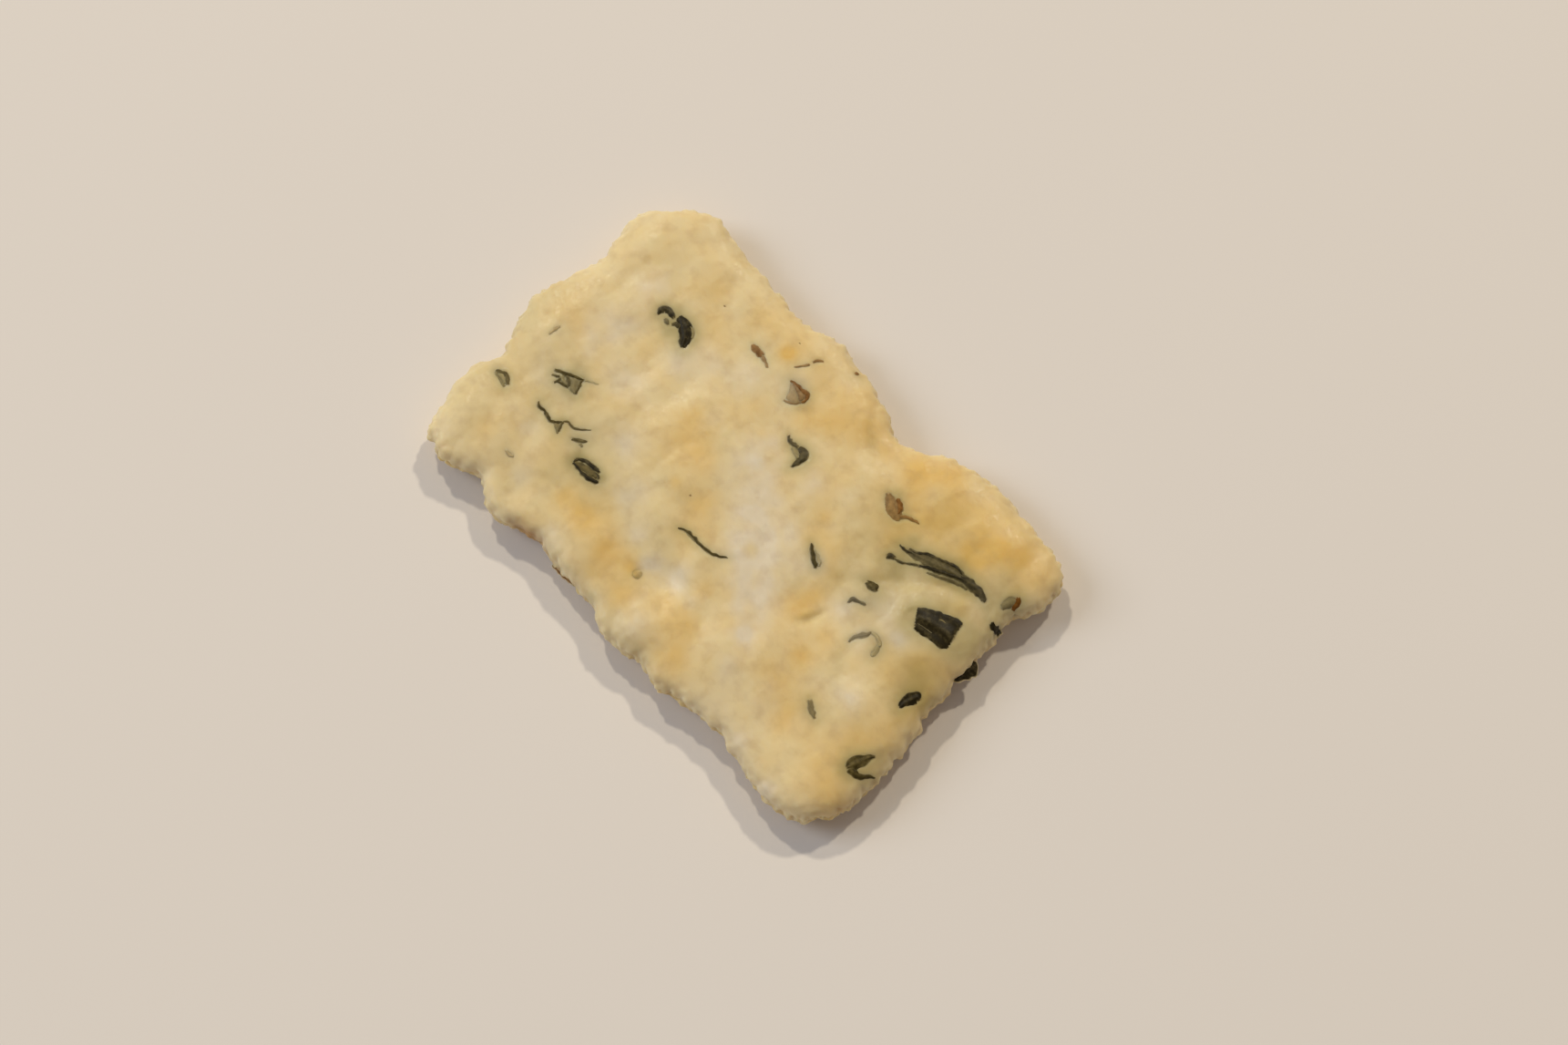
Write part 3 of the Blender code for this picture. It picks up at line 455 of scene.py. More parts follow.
class StudioSettings(bpy.types.PropertyGroup):
    """The camera, the table and the lights."""

    azimuth: angle_setting("Azimuth", "Where the camera stands, round the cracker", 46.7)
    elevation: angle_setting("Elevation", "How high the camera stands", 71.0)
    distance: length_setting("Distance", "From the camera to the point it looks at", 269.9)
    lens: bpy.props.FloatProperty(name="Lens", description="Focal length", default=70.0, unit="CAMERA")
    table: colour_setting("Table", "Matt table top", "E9DFD4")
    lamp: colour_setting("Lamps", "Two lamps beyond the cracker", "FFF7E3")
    window: colour_setting("Window", "Broad window to the left", "E2EEFF")
    room: colour_setting("Room", "Light from all round", "FDF6F4")
    left_power: power_setting("Left lamp", "Power of the lamp beyond the cracker on the left", 11.6)
    right_power: power_setting("Right lamp", "Power of the lamp beyond the cracker on the right", 11.6)
    window_power: power_setting("Window power", "Power of the light from the window", 9.0)
    room_strength: bpy.props.FloatProperty(
        name="Room strength", description="Strength of the light from all round", default=0.235, min=0.0
    )


# ---- small tools ----


def curve_through(points, share):
    """A smooth line through the points: on each stretch, a cubic whose slopes are half the step between neighbours."""
    line = np.asarray(points, float)
    ends = np.concatenate([2.0 * line[:1] - line[1:2], line, 2.0 * line[-1:] - line[-2:-1]])
    run = np.clip(share, 0.0, 1.0) * (len(line) - 1)
    i = np.minimum(run.astype(int), len(line) - 2)
    t = (run - i)[..., None]
    a, b, c, d = ends[i], ends[i + 1], ends[i + 2], ends[i + 3]
    return 0.5 * (
        2.0 * b
        + (c - a) * t
        + (2.0 * a - 5.0 * b + 4.0 * c - d) * t**2
        + (3.0 * b - a - 3.0 * c + d) * t**3
    )


def distance_to_line(x, y, points, samples=40):
    """Distance of each place from a smooth line, and how far along the line its nearest point is."""
    share = np.linspace(0.0, 1.0, samples)
    line = curve_through(points, share)
    best = np.full(np.shape(x), np.inf)
    along = np.zeros(np.shape(x))
    for s, (a, b) in zip(share, line):
        gap = np.hypot(x - a, y - b)
        along = np.where(gap < best, s, along)
        best = np.minimum(best, gap)
    return best, along


def ripples3(points, spacing, seed, waves=24):
    """ripples in space, so that it runs on from the faces round the rim."""
    draw = np.random.default_rng(seed)
    way = draw.normal(size=(waves, 3))
    way = way / np.linalg.norm(way, axis=1, keepdims=True)
    phase = draw.uniform(0.0, 2.0 * np.pi, waves)
    turns = 2.0 * np.pi / (spacing * draw.uniform(0.7, 1.5, waves))
    total = np.zeros(len(points))
    for w, p, k in zip(way, phase, turns):
        total = total + np.cos(k * (points @ w) + p)
    return total * np.sqrt(2.0 / waves)


def cobbles(points, spacing, seed):
    """Rounded grains packed in space: 1 at the middle of a grain, about 0 where two meet.

    Each cell of a cubic lattice holds one random middle. The height is 1 less the square of the distance to the
    nearest middle, in spacings.
    """
    cell = np.floor(points / spacing).astype(np.int64)
    inside = points / spacing - cell
    nearest = np.full(len(points), np.inf)
    for shift in np.ndindex(3, 3, 3):
        step = np.array(shift) - 1
        other = cell + step
        mixed = other @ np.array([73856093, 19349663, 83492791]) + seed * 2654435761
        gap = np.zeros(len(points))
        for axis in range(3):
            mixed = (mixed ^ (mixed >> 13)) * 1274126177 & 0x7FFFFFFF
            middle = step[axis] + (mixed % 4096) / 4096.0
            gap = gap + (inside[:, axis] - middle) ** 2
        nearest = np.minimum(nearest, gap)
    return 1.0 - np.minimum(nearest, 1.0)


def grid_indices(rows, columns, start=0):
    """The numbers of a grid's points."""
    return start + np.arange(rows * columns).reshape(rows, columns)


def quads_of(index, flipped=False):
    """The four-sided faces of a grid, facing up, or down if flipped."""
    faces = np.stack([index[:-1, :-1], index[1:, :-1], index[1:, 1:], index[:-1, 1:]], axis=-1).reshape(-1, 4)
    return faces[:, ::-1] if flipped else faces


def border_of(index):
    """The border of a grid as one closed loop of indices, clockwise from above."""
    return np.concatenate([index[0, :-1], index[:-1, -1], index[-1, :0:-1], index[:0:-1, 0]])


def closed_shell(top, bottom, rings=0):
    """Points and faces of a top grid and a bottom grid, joined round their borders with rings of points between."""
    rows, columns = top.shape[:2]
    upper, lower = grid_indices(rows, columns), grid_indices(rows, columns, rows * columns)
    points = [top.reshape(-1, 3), bottom.reshape(-1, 3)]
    loops = [border_of(upper)]
    rim_top, rim_bottom = top.reshape(-1, 3)[border_of(upper)], bottom.reshape(-1, 3)[border_of(upper)]
    start = 2 * rows * columns
    for ring in range(rings):
        share = (ring + 1) / (rings + 1)
        points.append(rim_top * (1.0 - share) + rim_bottom * share)
        loops.append(start + np.arange(len(rim_top)))
        start += len(rim_top)
    loops.append(border_of(lower))
    faces = [quads_of(upper), quads_of(lower, flipped=True)]
    for above, below in zip(loops[:-1], loops[1:]):
        faces.append(np.stack([above, np.roll(above, -1), np.roll(below, -1), below], axis=1))
    return np.concatenate(points), np.concatenate(faces)


def normals_of(points, faces):
    """Unit normals of the points: the sum of the normals of the faces around each."""
    corner = points[faces]
    facing = np.cross(corner[:, 2] - corner[:, 0], corner[:, 3] - corner[:, 1])
    total = np.zeros_like(points)
    for side in range(4):
        np.add.at(total, faces[:, side], facing)
    return total / np.maximum(np.linalg.norm(total, axis=1, keepdims=True), 1e-12)


def make_piece(name, points, faces, finish, attributes=None, flat=None):
    """A mesh object at the origin from points in millimetres, with one value per point for each attribute.

    Faces are smooth, apart from those marked as flat.
    """
    mesh = bpy.data.meshes.new(name)
    mesh.vertices.add(len(points))
    mesh.vertices.foreach_set("co", (points * MM).astype(np.float32).ravel())
    mesh.loops.add(faces.size)
    mesh.loops.foreach_set("vertex_index", faces.astype(np.int32).ravel())
    mesh.polygons.add(len(faces))
    mesh.polygons.foreach_set("loop_start", np.arange(0, faces.size, 4, dtype=np.int32))
    mesh.polygons.foreach_set("use_smooth", np.ones(len(faces), bool) if flat is None else ~flat)
    for key, values in (attributes or {}).items():
        mesh.attributes.new(key, "FLOAT", "POINT").data.foreach_set("value", values.astype(np.float32))
    mesh.update()
    mesh.validate()
    mesh.materials.append(finish)
    made = bpy.data.objects.new(name, mesh)
    bpy.context.scene.collection.objects.link(made)
    return made


def add_node(tree, kind, inputs=None, output=0, **settings):
    """Adds one shader node with its settings and gives back one of its outputs.

    The kind is Blender's own, without ShaderNode. Each input is a value, or another node's output that feeds it.
    """
    made = tree.nodes.new("ShaderNode" + kind)
    for key, value in settings.items():
        setattr(made, key, value)
    for key, value in (inputs or {}).items():
        if isinstance(value, bpy.types.NodeSocket):
            tree.links.new(value, made.inputs[key])
        else:
            made.inputs[key].default_value = value
    return made.outputs[output] if made.outputs else made


def new_finish(name):
    """An empty material and its tree."""
    made = bpy.data.materials.new(name)
    made.use_nodes = True
    made.node_tree.nodes.clear()
    return made, made.node_tree


# ---- materials ----

# Sizes of the patterns and depths of the bumps, in mm
MOTTLE, GRAIN, SPECK, GRAIN_DEPTH = 1.3, 0.5, 0.25, 0.03
BLADE_PATCH, BLADE_WRINKLE, WRINKLE_DEPTH = 0.5, 0.2, 0.03
PAINT_CLOUD = 60.0

# How much of the light goes into the dough, how far it spreads there and in seaweed under dough, in mm, and how far
# red, green and blue go of that
GLOW, DOUGH_SPREAD, COVERED_SPREAD, SPREAD_BY_COLOUR = 0.85, 0.9, 0.6, (1.0, 0.90, 0.72)

# How much the mottle breaks up each layer of the dough's colour
UNEVENNESS = {"toasted": 0.35, "milky": 0.3, "stained": 0.2, "scorched": 0.5}

# Seaweed: its dark and light colours, and the painted highlight on the tops of its ridges, as multiples of its own
# colour, and how unevenly dough runs over it
BLADE_DARK, BLADE_LIGHT, BLADE_HIGHLIGHT, COVER_UNEVENNESS = 0.7, 1.5, 2.2, 0.4
ROUGHNESS = {"black": 0.42, "green": 0.50, "brown": 0.52}


def dough_colour(tree, where):
    """The colour of the dough at each place: cream, and over it the golden places of toast and painted shade,
    the milky places, the olive places of seaweed stain and painted shade, and the scorched places.

    Each layer has an attribute for its strength, which the mottle makes uneven.
    """
    colours = bpy.context.scene.cracker_dough
    scale = 1.0 / (MOTTLE * MM)
    mottle = add_node(tree, "TexNoise", {"Vector": where, "Scale": scale, "Detail": 3.0, "Roughness": 0.5})
    body = (*colours.cream, 1.0)
    for layer, uneven in UNEVENNESS.items():
        amount = add_node(tree, "Attribute", attribute_name=layer, output="Fac")
        amount = add_node(tree, "Math", {0: mottle, 1: uneven, 2: amount}, operation="MULTIPLY_ADD")
        amount = add_node(tree, "Math", {0: amount, 1: 0.5 * uneven}, operation="SUBTRACT", use_clamp=True)
        shade = (*getattr(colours, layer), 1.0)
        body = add_node(tree, "Mix", {0: amount, 6: body, 7: shade}, output=2, data_type="RGBA")
    return body


def baked_rice_dough():
    """Baked rice dough: steamed, rolled, cut and baked until it puffs, then lightly oiled.

    The crisp foam lets light in, so edges and thin puffs glow. The skin is satin, with a fine grain and a few
    glints. Puffs near the heat turn golden, thin puffs stay milky, and seaweed tints the dough round it.
    Golden and olive colour are also painted in as shade: in the creases, and over the right end.
    """
    made, tree = new_finish("baked_rice_dough")
    where = add_node(tree, "TexCoord", output="Object")
    grain, speck = (
        add_node(tree, "TexNoise", {"Vector": where, "Scale": 1.0 / (size * MM), "Detail": 3.0, "Roughness": 0.55})
        for size in (GRAIN, SPECK)
    )
    shader = add_node(tree, "BsdfPrincipled", {
        "Base Color": dough_colour(tree, where),
        "Roughness": add_node(tree, "MapRange", {0: speck, 1: 0.35, 2: 0.65, 3: 0.34, 4: 0.58}),
        "IOR": 1.45,
        "Specular IOR Level": 0.4,
        "Subsurface Weight": GLOW,
        "Subsurface Radius": SPREAD_BY_COLOUR,
        "Subsurface Scale": DOUGH_SPREAD * MM,
        "Normal": add_node(tree, "Bump", {"Strength": 0.35, "Distance": GRAIN_DEPTH * MM, "Height": grain}),
    }, subsurface_method="RANDOM_WALK")
    add_node(tree, "OutputMaterial", {"Surface": shader})
    return made


def dried_seaweed(kind):
    """Dried seaweed: boiled, dried and chopped, then baked in the dough.

    Its folded blade is dark, with a satin skin, and the tops of its ridges get a lighter painted highlight. Dough runs
    over its edges and its thin parts, and there it takes the dough's own colour and glow, so each piece looks sunk in
    rather than laid on.
    """
    base = np.array(getattr(bpy.context.scene.cracker_seaweed, kind))
    # The ridge colour is a painted highlight for the tops of the ridges
    shades = base * BLADE_DARK, base * BLADE_LIGHT, base * BLADE_HIGHLIGHT + 0.02
    dark, light, ridge = ((*shade, 1.0) for shade in shades)
    made, tree = new_finish("dried_seaweed_" + kind)
    where = add_node(tree, "TexCoord", output="Object")
    patch, wrinkle = (
        add_node(tree, "TexNoise", {"Vector": where, "Scale": 1.0 / (size * MM), "Detail": 3.0, "Roughness": 0.6})
        for size in (BLADE_PATCH, BLADE_WRINKLE)
    )
    tone = add_node(tree, "MapRange", {0: patch, 1: 0.35, 2: 0.75})
    body = add_node(tree, "Mix", {0: tone, 6: dark, 7: light}, output=2, data_type="RGBA")
    # Painted highlight: the lighter colour mixed in on the tops of the ridges
    crest = add_node(tree, "Attribute", attribute_name="crest", output="Fac")
    body = add_node(tree, "Mix", {0: crest, 6: body, 7: ridge}, output=2, data_type="RGBA")
    cover = add_node(tree, "Attribute", attribute_name="veil", output="Fac")
    cover = add_node(tree, "Math", {0: patch, 1: COVER_UNEVENNESS, 2: cover}, operation="MULTIPLY_ADD")
    cover = add_node(tree, "Math", {0: cover, 1: 0.5 * COVER_UNEVENNESS}, operation="SUBTRACT", use_clamp=True)
    dough = dough_colour(tree, where)
    body = add_node(tree, "Mix", {0: cover, 6: body, 7: dough}, output=2, data_type="RGBA")
    shader = add_node(tree, "BsdfPrincipled", {
        "Base Color": body,
        "Roughness": ROUGHNESS[kind],
        "IOR": 1.45,
        "Specular IOR Level": 0.15,
        "Subsurface Weight": add_node(tree, "Math", {0: cover, 1: GLOW}, operation="MULTIPLY"),
        "Subsurface Radius": SPREAD_BY_COLOUR,
        "Subsurface Scale": COVERED_SPREAD * MM,
        "Normal": add_node(tree, "Bump", {"Strength": 0.5, "Distance": WRINKLE_DEPTH * MM, "Height": wrinkle}),
    }, subsurface_method="RANDOM_WALK")
    add_node(tree, "OutputMaterial", {"Surface": shader})
    return made


def matt_painted_table(colour):
    """Matt paint on a smooth board: rolled on, so its shade wanders very slightly."""
    made, tree = new_finish("matt_painted_table")
    where = add_node(tree, "TexCoord", output="Object")
    cloud = add_node(tree, "TexNoise", {"Vector": where, "Scale": 1.0 / (PAINT_CLOUD * MM), "Detail": 2.0})
    dark, light = ((*(np.array(colour) * tone), 1.0) for tone in (0.985, 1.01))
    tone = add_node(tree, "Mix", {0: cloud, 6: dark, 7: light}, output=2, data_type="RGBA")
    shader = add_node(tree, "BsdfPrincipled", {"Base Color": tone, "Roughness": 0.75, "Specular IOR Level": 0.2})
    add_node(tree, "OutputMaterial", {"Surface": shader})
    return made


# ---- the dough ----

# The grid: cells each way, how its lines crowd at both ends, and rings of points round the rim between the faces
CELLS_X, CELLS_Y = 270, 172
CROWDING, CROWDING_POWER = 0.08, 12
RINGS = 3

# Blisters: how many, and the spans of their X, Y, share of the height, and reach
BLISTERS, BLISTER_SPANS = 70, ((-25.0, 25.0), (-15.5, 15.5), (0.4, 1.0), (0.5, 1.3))

# Crumb: how it gathers at the rim, the small crumbs' size and height to the others', and the patches that it is in
RIM_POWER, CRUMB_POWER = 0.7, 2.2
SMALL_CRUMB_SIZE, SMALL_CRUMB_HEIGHT, CRUMB_MIDDLE = 0.48, 0.6, 0.6
PATCH_SPACING, PATCH_MIDDLE, PATCH_DEPTH, PATCH_LEAST = 9.0, 0.65, 0.40, 0.25

# Ripples of the skin: spacing and height, and of the finer ones, which grow at the rim
SKIN_SPACING, SKIN_HEIGHT = 1.5, 0.010
FINE_SPACING, FINE_HEIGHT, FINE_RIM_HEIGHT, FINE_POWER = 0.8, 0.005, 0.09, 4

# Marks of the seaweed: a piece counts as no broader than BROADEST. Its tint and the tint's reach grow with breadth.
# The dough gives way under it by SEAT_DEPTH, over a soft edge
BROADEST = 1.2
TINT, TINT_BY_BREADTH, TINT_LOST_UNDER_DOUGH, BROWN_SHARE = 0.16, 0.30, 0.6, 0.45
TINT_REACH, TINT_REACH_BY_BREADTH = 0.40, 0.45
SEAT_EDGE, SEAT_DEPTH = 0.25, 0.06

# Strengths of the colours. The heat colours high places more, and the rim stays paler. Creases take golden and
# olive colour as painted shade
TOAST, TOAST_HIGH, HIGH_PLACE, HIGH_SPAN = 0.08, 0.06, 4.1, 0.9
RIM_MILK, RIM_TINT, UNDER_TINT = 0.30, 0.08, 0.14
CREASE_SHADE_GOLD, CREASE_SHADE_OLIVE, CREASE_WIDEN, FULL_CREASE = 0.25, 0.45, 1.2, 0.24
UNDER_TOAST, UNDER_TOAST_FACE, UNDER_TOAST_FLAT, FLAT_SPAN = 0.05, 0.20, 0.30, 0.12

# The scorched place on the near rim: its X and Y, its reach along them, where it ends below the top, and strength
SCORCH_X, SCORCH_Y, SCORCH_REACH_X, SCORCH_REACH_Y, SCORCH_TOP, SCORCH = -10.5, -15.9, 1.8, 0.9, 3.8, 0.75

# Random fields of the colours: height, spacing and seed
WANDER, SMALL_WANDER = (0.08, 7.0, 21), (0.05, 2.8, 22)
MILK_EDGE, MILK_WANDER = (0.2, 2.2, 23), (0.05, 4.0, 24)
CRUMB_SEED, SMALL_CRUMB_SEED, SKIN_SEED, FINE_SEED, PATCH_SEED, BLISTER_SEED = 3, 4, 5, 6, 7, 31


def crowded(line):
    """Moves evenly spaced grid lines from -1 to 1 closer together near both ends."""
    return line * (1.0 + CROWDING - CROWDING * np.abs(line) ** CROWDING_POWER)


def underside_lines():
    """Random straight lines for seaweed on the underside, the same as the solid's."""
    draw = np.random.default_rng(UNDERSIDE_SEED)
    reach = UNDERSIDE_REACH * np.array([LENGTH, WIDTH])
    chosen = []
    for _ in range(UNDERSIDE_TRIES):
        middle = draw.uniform(-reach, reach)
        angle = draw.uniform(0.0, np.pi)
        length = draw.uniform(*UNDERSIDE_LENGTHS)
        breadth = draw.uniform(*UNDERSIDE_BREADTHS)
        half_run = 0.5 * length * np.array([np.cos(angle), np.sin(angle)])
        line = np.array([middle - half_run, middle, middle + half_run])
        room = under_face(*grid_of(line[:, 0], line[:, 1])).min()
        apart = all(np.linalg.norm(middle - other[1]) > UNDERSIDE_APART for other, _ in chosen)
        if room > UNDERSIDE_ROOM and apart:
            chosen.append((line, breadth))
        if len(chosen) == UNDERSIDE_PIECES:
            break
    return chosen


def blister_relief(x, y):
    """Small round blisters at seeded places: each a bell curve with its own height and reach."""
    draw = np.random.default_rng(BLISTER_SEED)
    a, b, height, reach = (draw.uniform(*span, BLISTERS) for span in BLISTER_SPANS)
    return mounds(x, y, np.column_stack([a, b, reach, height]))


def crease_field(x, y, widen=1.0):
    """The deepest crease at each place: a bell curve across its line, times its depth, fading at both its ends."""
    field = np.zeros_like(x)
    for depth, reach, line in CREASES:
        gap, along = distance_to_line(x, y, line)
        fade = np.sin(np.pi * np.clip(along, 0.04, 0.96)) ** 0.5
        field = np.maximum(field, depth * fade * np.exp(-((gap / (reach * widen)) ** 2)))
    return field


def skin_level(u, v):
    """Height of the dressed upper face: the solid's, with the blisters added and the creases taken away."""
    height = bpy.context.scene.cracker_dough.blister_height / MM
    x, y = place(u, v)
    return upper_face(u, v) + fullness(u, v) * (height * blister_relief(x, y) - crease_field(x, y))


def seaweed_marks(x, y):
    """Round each piece of seaweed: how much it tints the dough, and where the dough gives way under it, 0 to 1."""
    stain, seat = np.zeros(np.shape(x)), np.zeros(np.shape(x))
    for kind, rows in SEAWEED.items():
        for veil, _, _, line in rows:
            line = np.array(line)
            gap, along = distance_to_line(x, y, line[:, :2])
            half = 0.5 * np.interp(along, np.linspace(0.0, 1.0, len(line)), line[:, 2])
            size = min(line[:, 2].max(), BROADEST)
            strength = (TINT + TINT_BY_BREADTH * size) * (1.0 - TINT_LOST_UNDER_DOUGH * veil)
            strength = strength * (BROWN_SHARE if kind == "brown" else 1.0)
            reach = TINT_REACH + TINT_REACH_BY_BREADTH * size
            near = np.exp(-((np.maximum(gap - half, 0.0) / reach) ** 2))
            stain = 1.0 - (1.0 - stain) * (1.0 - strength * near)
            seat = np.maximum(seat, np.clip((half - gap) / SEAT_EDGE + 0.5, 0.0, 1.0))
    return stain, seat


def dough_marks(x, y, z):
    """Strength of each colour of the dough at places on the upper face: its spots, some of which are painted shade,
    and seeded ripples over them.
    """
    wander, small_wander, milk_edge, milk_wander = (
        height * ripples(x, y, spacing, seed)
        for height, spacing, seed in (WANDER, SMALL_WANDER, MILK_EDGE, MILK_WANDER)
    )
    milk = mounds(x, y, MILKY) * (1.0 + milk_edge) + milk_wander
    stain, _ = seaweed_marks(x, y)
    rim = 1.0 - fullness(*grid_of(x, y))
    near_scorch = np.exp(-(((x - SCORCH_X) / SCORCH_REACH_X) ** 2 + ((y - SCORCH_Y) / SCORCH_REACH_Y) ** 2))
    heat = TOAST + wander + small_wander + TOAST_HIGH * np.clip((z - HIGH_PLACE) / HIGH_SPAN, -1.0, 1.0)
    return {
        "toasted": heat + mounds(x, y, TOASTED_AND_SHADED),
        "milky": np.maximum(milk, 0.0) + RIM_MILK * rim,
        "stained": 1.0 - (1.0 - stain) * (1.0 - mounds(x, y, STAINED_AND_SHADED)) * (1.0 - RIM_TINT * rim),
        "scorched": SCORCH * near_scorch * np.clip(SCORCH_TOP - z, 0.0, 1.0),
    }


def build_dough():
    """The cracker's dough: both faces on a fine grid, joined round the rim, with crumb along the normals."""
    settings = bpy.context.scene.cracker_dough
    u, v = np.meshgrid(
        crowded(np.linspace(-1.0, 1.0, CELLS_X + 1)), crowded(np.linspace(-1.0, 1.0, CELLS_Y + 1)), indexing="ij"
    )
    x, y = place(u, v)
    face = fullness(u, v)
    _, seat = seaweed_marks(x, y)
    upper = skin_level(u, v) - SEAT_DEPTH * face * seat
    points, faces = closed_shell(np.dstack([x, y, upper]), np.dstack([x, y, under_face(u, v)]), RINGS)
    cells = x.size
    rim = np.ones(len(points))
    rim[: 2 * cells] = np.tile((1.0 - face.ravel()) ** RIM_POWER, 2)
    below = np.zeros(len(points))
    below[cells : 2 * cells] = 1.0
    below[2 * cells :] = np.repeat((np.arange(RINGS) + 1.0) / (RINGS + 1.0), (len(points) - 2 * cells) // RINGS)

    normal = normals_of(points, faces)
    spacing = settings.crumb_spacing / MM
    crumbs = cobbles(points, spacing, CRUMB_SEED) - CRUMB_MIDDLE
    small = cobbles(points, spacing * SMALL_CRUMB_SIZE, SMALL_CRUMB_SEED) - CRUMB_MIDDLE
    patchy = np.clip(PATCH_MIDDLE + PATCH_DEPTH * ripples3(points, PATCH_SPACING, PATCH_SEED), PATCH_LEAST, 1.0)
    low, high = settings.crumb_height / MM, settings.rim_crumb_height / MM
    height = low + (high - low) * rim**CRUMB_POWER * patchy
    push = height * (crumbs + SMALL_CRUMB_HEIGHT * small)
    push = push + SKIN_HEIGHT * ripples3(points, SKIN_SPACING, SKIN_SEED)
    fine = FINE_HEIGHT + FINE_RIM_HEIGHT * rim**FINE_POWER
    push = push + fine * ripples3(points, FINE_SPACING, FINE_SEED)
    points = points + normal * push[:, None]
    points[:, 2] = np.maximum(points[:, 2], 0.0)

    marks = dough_marks(*points.T)
    crease = crease_field(x, y, CREASE_WIDEN).ravel() / FULL_CREASE
    on_sheet = np.exp(-points[cells:, 2] / FLAT_SPAN) * (below[cells:] == 1.0)
    wander = WANDER[0] * ripples(*points[cells:, :2].T, *WANDER[1:])
    # Painted shade: golden colour laid in the creases
    marks["toasted"][:cells] += CREASE_SHADE_GOLD * crease
    marks["toasted"][cells:] = UNDER_TOAST + UNDER_TOAST_FACE * below[cells:] + UNDER_TOAST_FLAT * on_sheet + wander
    marks["milky"][cells:] = RIM_MILK * (1.0 - below[cells:])
    # Painted shade: olive colour laid in the creases
    marks["stained"][:cells] = np.maximum(marks["stained"][:cells], CREASE_SHADE_OLIVE * crease)
    marks["stained"][cells:] = UNDER_TINT
    dough = make_piece("cracker_dough", points, faces, baked_rice_dough(), marks)
    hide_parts(NODE)
    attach(dough, "root")


# ---- the seaweed ----

# Grid of a strip: steps along and across it, and the fewest and most of them
ALONG_STEP, ALONG_COUNT = 0.07, (8, 60)
ACROSS_STEP, ACROSS_COUNT = 0.06, (8, 46)
# Torn ends and edges: how far, at most what share of the half breadth, and spacing of the tears
END_TEAR, EDGE_TEAR, EDGE_TEAR_SHARE, TEAR_SPACING = 0.04, 0.05, 0.25, 0.6
# A strip is a little broader than its line says, because dough covers its edge, over SOFT_EDGE
BROADER, EXTRA, SOFT_EDGE, EDGE_COVER, EDGE_DIP = 1.08, 0.05, 0.12, 0.95, 0.03
# How strongly the painted highlight on the top of a ridge shows, on a piece with several ridges and with one
CREST_HIGHLIGHT, LONE_CREST_HIGHLIGHT = 0.35, 0.15
# Underside pieces: how far dough covers them, their height, their ridges, and their breadth at both ends and middle
UNDERSIDE_ROW, UNDERSIDE_TAPER = (0.1, 0.06, 2), np.array([0.6, 1.0, 0.5])


def blade(line, ridges, seed):
    """A strip along a smooth line, with the line's own breadth at each place.

    Gives the place of each point, its ridge height from -1 to 1, how far it fades into the dough near an edge, and
    its place between the middle and the edge. Across the strip the ridges are a cosine. Both edges and both ends
    are torn by seeded ripples.
    """
    line = np.array(line)
    length, breadth = np.linalg.norm(np.diff(line[:, :2], axis=0), axis=1).sum(), line[:, 2].max()
    rows = int(np.clip(length / ALONG_STEP, *ALONG_COUNT))
    columns = int(np.clip(breadth / ACROSS_STEP, *ACROSS_COUNT))
    s, t = np.meshgrid(np.linspace(0.0, 1.0, rows + 1), np.linspace(-1.0, 1.0, columns + 1), indexing="ij")
    torn = END_TEAR / length * ripples(t * breadth, s * 0.3, TEAR_SPACING, seed + 1) * (2.0 * s - 1.0)
    share = np.clip(s + torn, 0.0, 1.0)
    middle = curve_through(line, share)
    ahead = curve_through(line, np.minimum(share + 0.03, 1.0))
    run = (ahead - curve_through(line, np.maximum(share - 0.03, 0.0)))[..., :2]
    run = run / np.maximum(np.linalg.norm(run, axis=-1, keepdims=True), 1e-9)
    half = 0.5 * np.maximum(BROADER * middle[..., 2] + EXTRA, EXTRA)
    tear = np.minimum(EDGE_TEAR, EDGE_TEAR_SHARE * half)
    half = half + tear * ripples(s * length, np.sign(t) * 7.0, TEAR_SPACING, seed) * np.abs(t)
    x = middle[..., 0] - t * half * run[..., 1]
    y = middle[..., 1] + t * half * run[..., 0]
    ridge = np.cos(np.pi * ridges * (t + 0.15 * np.sin(3.0 * s + seed))) * (1.0 - t**2)
    in_from_edge = np.minimum((1.0 - np.abs(t)) * half, (0.5 - np.abs(s - 0.5)) * length)
    soft = np.clip(1.0 - in_from_edge / np.minimum(SOFT_EDGE, 0.6 * half), 0.0, 1.0)
    return x, y, ridge, soft, np.maximum(np.abs(t), np.abs(2.0 * s - 1.0) ** 5)


def laid_blade(row, seed, height_of, up=1.0):
    """A closed strip of seaweed on a surface: its middle stands off by its lift, and its edges dip into the dough.

    Also gives, for each point, how strongly the painted highlight on the top of a ridge shows there and how far dough
    covers it, and, for each face, whether it is a wall.
    """
    settings = bpy.context.scene.cracker_seaweed
    veil, lift, ridges, line = row
    x, y, ridge, soft, edge = blade(line, ridges, seed)
    fold = settings.ridge_height / MM * min(1.0, max(point[2] for point in line)) * ridge
    away = lift * (1.0 - edge**2) + fold - EDGE_DIP * edge**2
    level = height_of(x, y)
    outer, inner = level + up * away, level + up * (away - settings.thickness / MM)
    top, bottom = (outer, inner) if up > 0 else (inner, outer)
    points, faces = closed_shell(np.dstack([x, y, top]), np.dstack([x, y, bottom]))
    # Painted highlight on the tops of the ridges
    crest = np.clip(ridge, 0.0, 1.0) ** 3 * (CREST_HIGHLIGHT if ridges > 1 else LONE_CREST_HIGHLIGHT)
    cover = veil + (1.0 - veil) * EDGE_COVER * soft**1.5
    walls = np.arange(len(faces)) >= 2 * (x.shape[0] - 1) * (x.shape[1] - 1)
    return points, faces, np.tile(crest.ravel(), 2), np.tile(cover.ravel(), 2), walls


